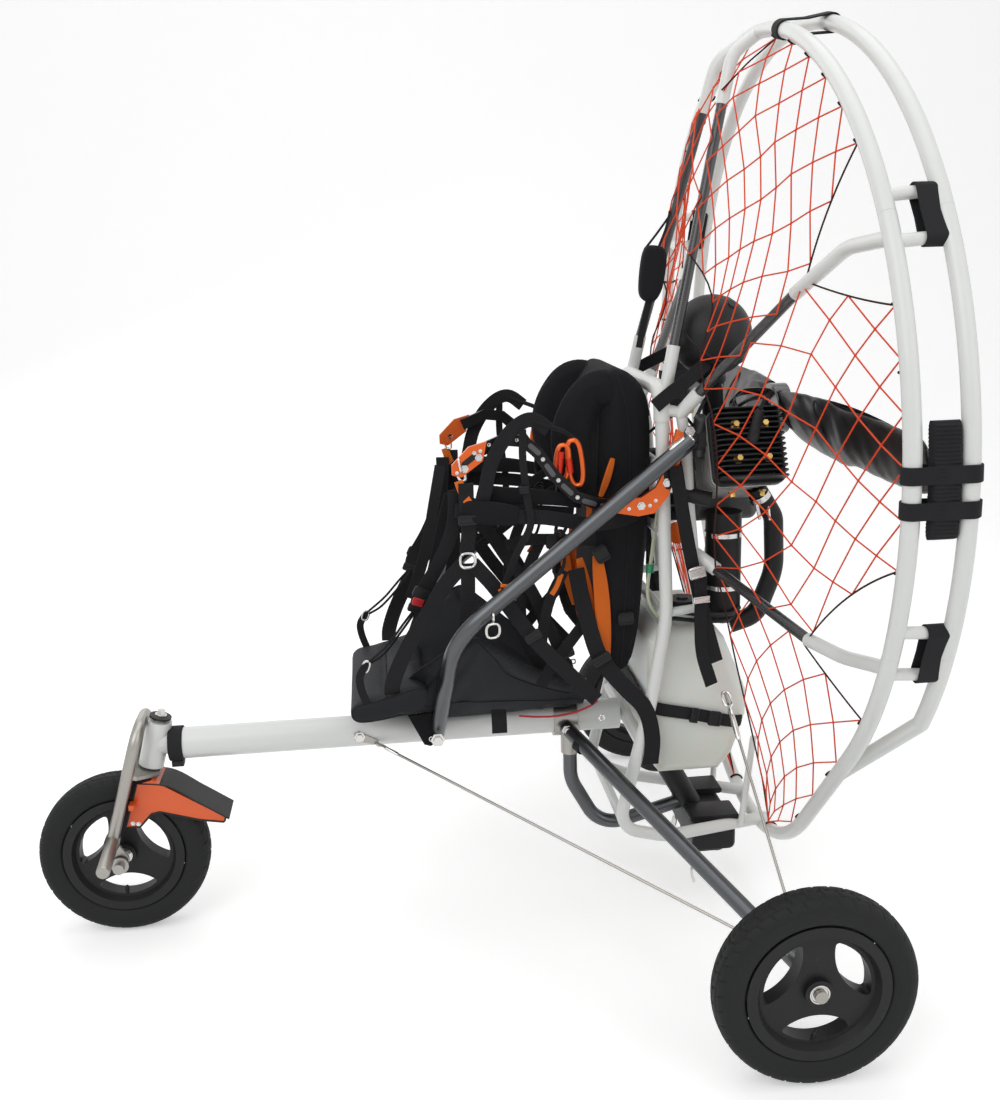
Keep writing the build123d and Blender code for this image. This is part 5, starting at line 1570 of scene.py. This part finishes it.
class TRIKE_OT_engine(bpy.types.Operator):
    """Spark plug, nuts, shroud, carburettor, hoses, clamps and mounts of the engine"""
    bl_idname = "trike.engine"
    bl_label = "Engine details"

    def execute(self, context):
        side, up = np.array([0, -HEAD_COS, HEAD_SIN]), np.array([0, HEAD_SIN, HEAD_COS])
        ahead = np.array([1.0, 0.0, 0.0])
        base = np.array([ENGINE_X, 0.0, ENGINE_Z])

        fins = [slab(rounded(118, 40, 9), 2.6, base + up * (k * 9.0 - 58.5) + side * 222, ahead, side, 0.8)
                for k in range(14)]
        head = [slab(rounded(124, 132, 16), 16, base + side * 204, ahead, up, 2),
                slab(rounded(78, 118, 10), 14, base + side * 218, ahead, up, 2)]
        made = piece("head_fins", joined(fins + head), "moulded")
        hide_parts("cylinder")
        barrel = [slab(rounded(112, 118, 24), 2.4, base + side * (74 + 10.4 * k), ahead, up, 0.7)
                  for k in range(12)]
        barrel.append(slab(rounded(84, 88, 40), 158, base + side * 118, ahead, up, 2))
        barrel.append(slab(rounded(124, 132, 16), 3.4, base + side * 193, ahead, up, 0.8))
        piece("barrel_fins", joined(barrel), "fins")

        def on_head(x, y, out):
            return base + ahead * x + up * y + side * out

        nuts = [bolt(on_head(x, y, 228), side, 5.6, 15) for x in (-24, 26) for y in (-27, 31)]
        nuts += [bolt(on_head(x, -66, 158), -up, 5, 10) for x in (-18, 34)]
        piece("head_nuts", joined(nuts), "brass")
        plug_foot = on_head(2, 4, 222)
        way = unit(side * 0.55 + up * 0.85 + ahead * 0.18)
        metal = closed_turn([(0, 10), (8, 10), (8, 7.5), (16, 7.5), (17, 5)], plug_foot, side, 18)
        piece("plug_hex", metal, "bright")
        cap_foot = plug_foot + side * 14
        cap = turned([(-4, 0.01), (-4, 9.5), (6, 10.5), (16, 9.4), (48, 8.2), (52, 6.0), (53, 0.01)],
                     cap_foot, way, 20)
        lead = rope([cap_foot + way * 50, cap_foot + way * 72 + ahead * 2, on_head(20, 86, 190),
                     on_head(18, 92, 140), on_head(-4, 84, 100), (-20, -60, 968), (-50, -90, 940)], 3.4, 60)
        piece("plug_cap", joined([cap, lead]), "moulded")
        band_points = [on_head(-8, 58, 200), on_head(-12, 84, 196), on_head(6, 98, 194),
                       on_head(34, 100, 194), on_head(58, 92, 194), on_head(62, 62, 200)]
        piece("head_shroud", arch(band_points, 34, 3.0, side, 60), "gloss")
        carb_axis = np.array([-1.0, -0.15, 0.1])
        carb_at = np.array([-54.0, -118.0, 912.0])
        carb = [closed_turn([(-30, 17), (-18, 20), (-16, 25), (6, 25), (8, 20), (26, 20), (28, 14)],
                            carb_at, carb_axis, 28),
                closed_turn([(0, 12), (26, 12), (30, 8)], carb_at + (0, -10, 12), (0.1, -0.4, 1), 20),
                closed_turn([(0, 16), (14, 16), (18, 12)], carb_at + (4, 0, -18), (0, 0, -1), 22)]
        piece("carburettor", joined(carb), "cast")
        mounts = [plug(13, 46, (-82, -146, 818), (1, -0.28, -0.2), 20),
                  plug(16, 10, (-96, -138, 752), (0.2, -1, 0), 24),
                  turned([(0, 0.01), (0, 15), (34, 15), (36, 0.01)], (-60, -60, 796), (0, -1, 0), 22)]
        piece("rubber_mounts", joined(mounts), "moulded")
        collar = plug(19, 7, (-97, -147, 752), (0.2, -1, 0), 24)
        piece("mount_collars", collar, "anodised")
        tag = slab(rounded(9, 14, 2), 2, (-74, -152, 966), (1, 0.1, 0), (0, 0.2, 1), 0.6)
        piece("primer_tag", tag, "yellow")
        dome = np.array([-18.0, -72.0, 1082.0])
        seam = [turned([(-2, 69.6), (0, 71.4), (2, 69.6)], dome, (0.45, -0.5, 0.72), 72),
                turned([(-2, 69.6), (0, 70.8), (2, 69.6)], dome, (0.9, 0.1, -0.4), 72),
                closed_turn([(0, 26), (10, 26), (14, 22)], (-14, -60, 1012), (0.05, 0.1, -1), 28),
                closed_turn([(66, 9), (72, 8)], dome, (0.35, -0.55, 0.75), 18)]
        piece("airbox_seams", joined(seam), "moulded")
        clamps = [turned([(-half, low), (-half, high), (half, high), (half, low)], place, way, sides)
                  for half, low, high, place, way, sides in (
                      (4, 20.4, 21.6, (-10, -52, 998), (0.15, 0.3, -1), 28),
                      (5, 17.4, 19, (50, -149, 808), (0.5, 0.1, -0.8), 28),
                      (4, 32.2, 33.4, (0, -104, 640), (0, 0, 1), 36),
                      (4, 32.2, 33.4, (0, -104, 736), (0, 0, 1), 36))]
        springs = [rope([(38, -170, 800), (46, -166, 772)], 3.0, 12, 6),
                   rope([(62, -160, 796), (66, -158, 768)], 3.0, 12, 6)]
        piece("engine_clamps", joined(clamps + springs), "bright")
        hose = rope([(-78, -100, 904), (-104, -112, 860), (-122, -118, 790), (-134, -122, 710),
                     (-142, -124, 636), (-120, -110, 590), (-92, -80, 578)], 3.2, 70)
        piece("fuel_line", hose, "fuel line")
        piece("fuel_bulb", plug(7, 14, (-137, -123, 690), (-0.1, 0, -1), 16), "green")
        cables = [rope([(-60, -128, 930), (-92, -150, 958), (-120, -128, 940), (-136, -60, 900),
                        (-150, -30, 820)], 2.6, 60),
                  rope([(-66, -104, 890), (-100, -128, 850), (-112, -136, 760), (-110, -132, 660),
                        (-96, -120, 600)], 2.4, 60),
                  rope([(-116, -140, 612), (-60, -146, 602), (0, -142, 596), (24, -128, 604)], 5.0, 40),
                  rope([(-116, -138, 596), (-60, -142, 588), (-6, -140, 584), (18, -122, 590)], 4.0, 40)]
        piece("cables", joined(cables), "moulded")
        coil = plug(14, 30, (-88, -20, 960), (0.2, -1, 0.1), 20)
        piece("ignition_coil", coil, "moulded")
        cap_made = closed_turn([(0, 29.5), (3, 30.5), (15, 30.5), (18, 28), (18, 12), (21, 10)],
                               (-62, -60, 588), (0, 0, 1), 40)
        piece("tank_cap", cap_made, "moulded")
        return {"FINISHED"}


def blade_cover(side):
    """Soft black cover over a propeller blade.

    Along the blade the section is a squared oval up to 112 mm deep and 28 mm thick, smaller at both
    ends; its skin is moved by three crossed sine waves whose height fades at the ends."""
    rows, columns = 150, 48
    share = np.linspace(0, 1, rows)
    reach = 44 + share * (PROP_RADIUS - 44 + 6)
    chord = 40 + 16 * np.sin(math.pi * np.clip(share * 1.25, 0, 1)) ** 0.8 + 4 * np.sin(share * 9)
    ends = np.sqrt(np.clip(1 - np.abs(2 * share - 1) ** 26, 0.0009, 1))
    twist = np.radians(26 - 18 * share)
    turn = full_turn(columns)
    c, s = squared(np.cos(turn), 0.75), squared(np.sin(turn), 0.85)
    fold = (0.055 * np.sin(share[:, None] * 17 + 2.6 * np.sin(turn)[None] + 1.2)
            + 0.030 * np.sin(share[:, None] * 33 - 2.0 * turn[None])
            + 0.008 * np.sin(share[:, None] * 75 + 3 * turn[None]))
    fold = fold * (np.sin(np.clip(share, 0.03, 0.97) * math.pi) ** 0.5 * np.clip(share * 4, 0.15, 1))[:, None]
    wide = chord[:, None] * ends[:, None] * c[None] * (1 + fold * 0.8)
    thick = (14 - 5 * share)[:, None] * ends[:, None] * s[None] * (1 + fold * 4)
    lift = wide * np.cos(twist)[:, None] - thick * np.sin(twist)[:, None]
    back = wide * np.sin(twist)[:, None] * side + thick * np.cos(twist)[:, None]
    across = np.broadcast_to(side * reach[:, None], lift.shape)
    return capped(np.stack([PROP_X + back, across, PROP_Z + lift - 4], -1))


class TRIKE_OT_propeller(bpy.types.Operator):
    """Soft covers with their ties on the propeller's blades, and the hub's bolts"""
    bl_idname = "trike.propeller"
    bl_label = "Propeller covers"

    def execute(self, context):
        covers = piece("blade_covers", joined([blade_cover(-1), blade_cover(1)]), "cover",
                       "propeller", 60)
        ties = []
        for side in (-1, 1):
            for reach, half, thick in ((62, 40, 20), (78, 44, 20), (250, 48, 17)):
                turn = full_turn(40)
                twist = math.radians(24)
                wide, deep = half * np.cos(turn), thick * np.sin(turn)
                path = np.stack([PROP_X + wide * math.sin(twist) * side + deep * math.cos(twist),
                                 0 * turn + side * reach,
                                 PROP_Z + wide * math.cos(twist) - deep * math.sin(twist)], 1)
                ties.append(closed_band(path, (0, 1, 0), 7, 2.0))
        piece("cover_ties", joined(ties), "webbing", "propeller")
        heads = [bolt((PROP_X + 20, 22 * math.cos(a), PROP_Z + 22 * math.sin(a)), (1, 0, 0), 5, 5)
                 for a in np.arange(6) * math.pi / 3]
        piece("hub_bolts", joined(heads), "bright", "propeller")
        return {"FINISHED"}


class TRIKE_OT_fork(bpy.types.Operator):
    """Front fork: a tube bent over the head tube, its legs ahead of the steering axis, with crown and pegs"""
    bl_idname = "trike.fork"
    bl_label = "Fork"

    def execute(self, context):
        rake, lean = math.radians(15.4), math.radians(17.2)
        axis = np.array([-math.sin(rake), 0, -math.cos(rake)])
        down = np.array([-math.sin(lean), 0, -math.cos(lean)])
        crest, legs, bend = np.array([-1061.0, 0, 417.0]), 57.0, 40.0
        turn = np.linspace(0, math.pi / 2, 10)[:, None]
        corner = crest + down * bend + (0, bend - legs, 0)
        over = corner - bend * (np.cos(turn) * np.array([0, 1.0, 0]) + np.sin(turn) * down)
        foot = crest + down * 249 + (0, -legs, 0)
        knee = crest + down * 141 + (0, -legs, 0)
        side = np.vstack([foot, (foot + knee) / 2, knee, (knee + over[0]) / 2, over])
        made = [sweep(np.vstack([side, side[::-1] * (1, -1, 1)]), circle(11, 24))]
        crown = np.array([HEAD_TOP_X, 0, HEAD_TOP_Z]) + axis * 96
        made.append(slab([(-20, -20), (20, -20), (57, 16), (57, 38), (-57, 38), (-57, 16)], 9, crown,
                         (0, 1, 0), np.cross((0, 1, 0), axis), 1))
        made.append(sweep([crown + axis * 6, crown - axis * 102], circle(12, 24)))
        for way in (-1, 1):
            leg = crest + down * 223 + (0, way * legs, 0)
            made.append(slab([(-5, 34), (14, 36), (30, 8), (28, -10), (12, -18), (-2, -8)], 7,
                             (-WHEELBASE - 14, way * (legs - 4), 160), (1, 0, 0), (0, 0, 1), 1))
            made.append(closed_turn([(-12, 14), (14, 14), (18, 12.2), (116, 12.2), (119, 10.5)],
                                    leg, (0.06, way, 0), 28))
            made.append(closed_turn([(0, 16), (4, 16), (5, 9), (15, 9)],
                                    (-WHEELBASE, way * (legs + 3), 157), (0, way, 0), 24))
        fork = piece("fork_tube", joined(made), "steel", "fork")
        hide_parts("fork")
        piece("stem_bolt", bolt(crown - axis * 106, -axis, 8, 11), "bright", "fork")
        ring = plug(20, 4, crown - axis * 102, -axis, 28)
        piece("stem_cover", ring, "moulded", "fork")
        return {"FINISHED"}


class TRIKE_OT_mudguard(bpy.types.Operator):
    """Black top, edges and bolts of the front mudguard"""
    bl_idname = "trike.mudguard"
    bl_label = "Mudguard trim"

    def execute(self, context):
        top = smooth([(-WHEELBASE + 40, 0, 306.5), (-WHEELBASE + 66, 0, 313.2), (-WHEELBASE + 130, 0, 272),
                      (-WHEELBASE + 197, 0, 225)], 40)
        cover = arch([tuple(p) for p in top[::13]] + [tuple(top[-1])], 2 * GUARD_HALF_WIDTH + 3, 2.6,
                     (0, 1, 0), 40)
        piece("guard_top", cover, "moulded", "fork")
        panel = [(40, 304), (67, 310), (194, 225), (192, 217), (147, 225), (76, 247), (61, 244), (39, 220),
                 (12, 220)]
        edge = spread([(x - WHEELBASE, -GUARD_HALF_WIDTH, z) for x, z in panel[2:] + panel[:1]], 60)
        piece("guard_edges", both_sides(sweep(edge, circle(2.0, 6))), "moulded", "fork")
        heads = [bolt((x - WHEELBASE, -GUARD_HALF_WIDTH, z), (0, -1, 0), 3, 3)
                 for x, z in ((26, 228), (36, 226))]
        piece("guard_bolts", both_sides(heads), "bright", "fork")
        return {"FINISHED"}


class TRIKE_OT_pouch(bpy.types.Operator):
    """Pouch with its cords and strap, which hangs from the cage's upper rods"""
    bl_idname = "trike.pouch"
    bl_label = "Pouch"

    def execute(self, context):
        outline = [(-158, 1168), (-150, 1228), (-128, 1236), (-112, 1222), (-118, 1170), (-132, 1146),
                   (-150, 1148)]
        pouch = piece("pouch", pillow(outline, -138, -112, 9, 48), "cloth")
        hang = [strap([(-140, -127, 1150), (-150, -127, 1110), (-158, -127, 1070)], 12, (0.2, -1, 0)),
                rope([(-124, -126, 1234), (-112, -124, 1262), (-104, -120, 1290)], 2.4, 24),
                rope([(-148, -124, 1230), (-126, -122, 1256), (-104, -120, 1284)], 2.0, 24)]
        piece("pouch_cords", joined(hang), "webbing")
        return {"FINISHED"}


class TRIKE_OT_stage(bpy.types.Operator):
    """Pale floor, backdrop, soft studio lamps and the camera of the photograph"""
    bl_idname = "trike.stage"
    bl_label = "Stage"

    def execute(self, context):
        floor_and_backdrop()
        lamps()
        camera()
        context.scene.view_settings.view_transform = "Standard"
        return {"FINISHED"}


def floor_and_backdrop():
    """White sweep: flat, then a quarter round, then upright, all along one profile."""
    reach, round_off, height = 5.0, 2.5, 7.0
    turn = np.linspace(-math.pi / 2, 0, 24)
    bend_y, bend_z = reach - round_off + round_off * np.cos(turn), round_off + round_off * np.sin(turn)
    side = np.concatenate([[-9.0], bend_y, [reach]])
    up = np.concatenate([[0.0], bend_z, [height]])
    wide = np.linspace(-9, 9, 3)
    points = np.stack(np.broadcast_arrays(wide[None, :], side[:, None], up[:, None]), -1)
    mesh = bpy.data.meshes.new("floor")
    made = grid(points)
    mesh.from_pydata(made[0].tolist(), [], made[1].tolist())
    mesh.polygons.foreach_set("use_smooth", np.ones(len(mesh.polygons), bool))
    floor = bpy.data.objects.new("floor", mesh)
    bpy.context.scene.collection.objects.link(floor)
    mesh.materials.append(paper())


def paper():
    """Pale paper for the floor: a plain diffuse white that takes the trike's shadow.

    Seen by the camera, in gloss or through glass it glows faintly, so it reads white without more light."""
    made = Finish("Studio paper")
    made.put(Roughness=0.9, Base_Color=rgba((0.93, 0.93, 0.93)), Emission_Color=rgba((1, 1, 1)))
    seen = made.tree.nodes.new("ShaderNodeLightPath")
    either = math_node(made.tree, "MAXIMUM", seen.outputs["Is Camera Ray"], seen.outputs["Is Glossy Ray"])
    either = math_node(made.tree, "MAXIMUM", either, seen.outputs["Is Transmission Ray"])
    made.tree.links.new(math_node(made.tree, "MULTIPLY", either, 0.38),
                        made.shader.inputs["Emission Strength"])
    return made.material


def lamps():
    """Large soft lamps overhead, from the left and from the camera's side, and an even pale world."""
    rows = (("key", (-2.2, -2.8, 3.6), 3.2, 60.0), ("fill", (2.8, -2.6, 2.4), 3.0, 26.0),
            ("top", (0.2, 0.4, 4.4), 3.6, 42.0), ("back", (-1.5, 3.4, 2.6), 2.5, 14.0))
    for name, place, size, power in rows:
        lamp = bpy.data.lights.new(name, "AREA")
        lamp.energy = power
        lamp.size = size
        obj = bpy.data.objects.new(name, lamp)
        obj.location = place
        aim = np.array([0.2, 0.0, 0.7]) - np.array(place)
        obj.rotation_euler = Matrix(look_axes(aim)).to_euler()
        bpy.context.scene.collection.objects.link(obj)
    world = bpy.data.worlds.new("Studio")
    world.use_nodes = True
    tree = world.node_tree
    shade = tree.nodes["Background"]
    shade.inputs["Color"].default_value = (1, 1, 1, 1)
    seen = tree.nodes.new("ShaderNodeLightPath")
    either = tree.nodes.new("ShaderNodeMath")
    either.operation = "MAXIMUM"
    tree.links.new(seen.outputs["Is Camera Ray"], either.inputs[0])
    tree.links.new(seen.outputs["Is Glossy Ray"], either.inputs[1])
    level = tree.nodes.new("ShaderNodeMapRange")
    level.inputs["To Min"].default_value = 0.42
    level.inputs["To Max"].default_value = 1.0
    tree.links.new(either.outputs[0], level.inputs["Value"])
    tree.links.new(level.outputs[0], shade.inputs["Strength"])
    bpy.context.scene.world = world


def look_axes(forward):
    """Columns of a camera or lamp that looks along a direction, with Z kept upright."""
    forward = unit(forward)
    right = unit(np.cross(forward, (0, 0, 1)))
    up = np.cross(right, forward)
    return np.stack([right, up, -forward], 1).tolist()


def camera():
    """Camera of the photograph: place, yaw, pitch, roll and focal length."""
    yaw, pitch, roll = (math.radians(v) for v in (CAMERA_YAW, CAMERA_PITCH, CAMERA_ROLL))
    forward = np.array([math.sin(yaw) * math.cos(pitch), math.cos(yaw) * math.cos(pitch), -math.sin(pitch)])
    level = np.array([math.cos(yaw), -math.sin(yaw), 0.0])
    upright = np.cross(level, forward)
    right = math.cos(roll) * level + math.sin(roll) * upright
    up = -math.sin(roll) * level + math.cos(roll) * upright
    lens = bpy.data.cameras.new("camera")
    lens.sensor_fit = "HORIZONTAL"
    lens.sensor_width = SENSOR
    lens.lens = SENSOR * CAMERA_FOCAL_PIXELS / PHOTO_WIDTH
    obj = bpy.data.objects.new("camera", lens)
    obj.rotation_mode = "QUATERNION"
    obj.rotation_quaternion = Matrix(np.stack([right, up, -forward], 1).tolist()).to_quaternion()
    obj.location = at(CAMERA_PLACE)
    bpy.context.scene.collection.objects.link(obj)
    bpy.context.scene.camera = obj


class TRIKE_PT_panel(bpy.types.Panel):
    """Shows the trike's colours and sizes and a button for each step that builds it"""
    bl_idname = "TRIKE_PT_panel"
    bl_label = "Paramotor trike"
    bl_space_type = "VIEW_3D"
    bl_region_type = "UI"
    bl_category = "Trike"

    def draw(self, context):
        for values in (context.scene.trike_colours, context.scene.trike_sizes):
            for label in values.__annotations__:
                self.layout.prop(values, label)
        for operator in OPERATORS:
            self.layout.operator(operator.bl_idname)


OPERATORS = (TRIKE_OT_tubes, TRIKE_OT_wheels, TRIKE_OT_net, TRIKE_OT_cushions, TRIKE_OT_webbing,
             TRIKE_OT_straps, TRIKE_OT_fittings, TRIKE_OT_engine, TRIKE_OT_propeller, TRIKE_OT_fork,
             TRIKE_OT_mudguard, TRIKE_OT_pouch, TRIKE_OT_stage)
CLASSES = (TrikeColours, TrikeSizes) + OPERATORS + (TRIKE_PT_panel,)


def register():
    for cls in CLASSES:
        bpy.utils.register_class(cls)
    bpy.types.Scene.trike_colours = PointerProperty(type=TrikeColours)
    bpy.types.Scene.trike_sizes = PointerProperty(type=TrikeSizes)


def unregister():
    del bpy.types.Scene.trike_sizes
    del bpy.types.Scene.trike_colours
    for cls in reversed(CLASSES):
        bpy.utils.unregister_class(cls)


def main():
    bpy.ops.object.select_all(action="DESELECT")
    register()
    for operator in OPERATORS:
        group_name, name = operator.bl_idname.split(".")
        getattr(getattr(bpy.ops, group_name), name)()


if __name__ == "__main__":
    main()
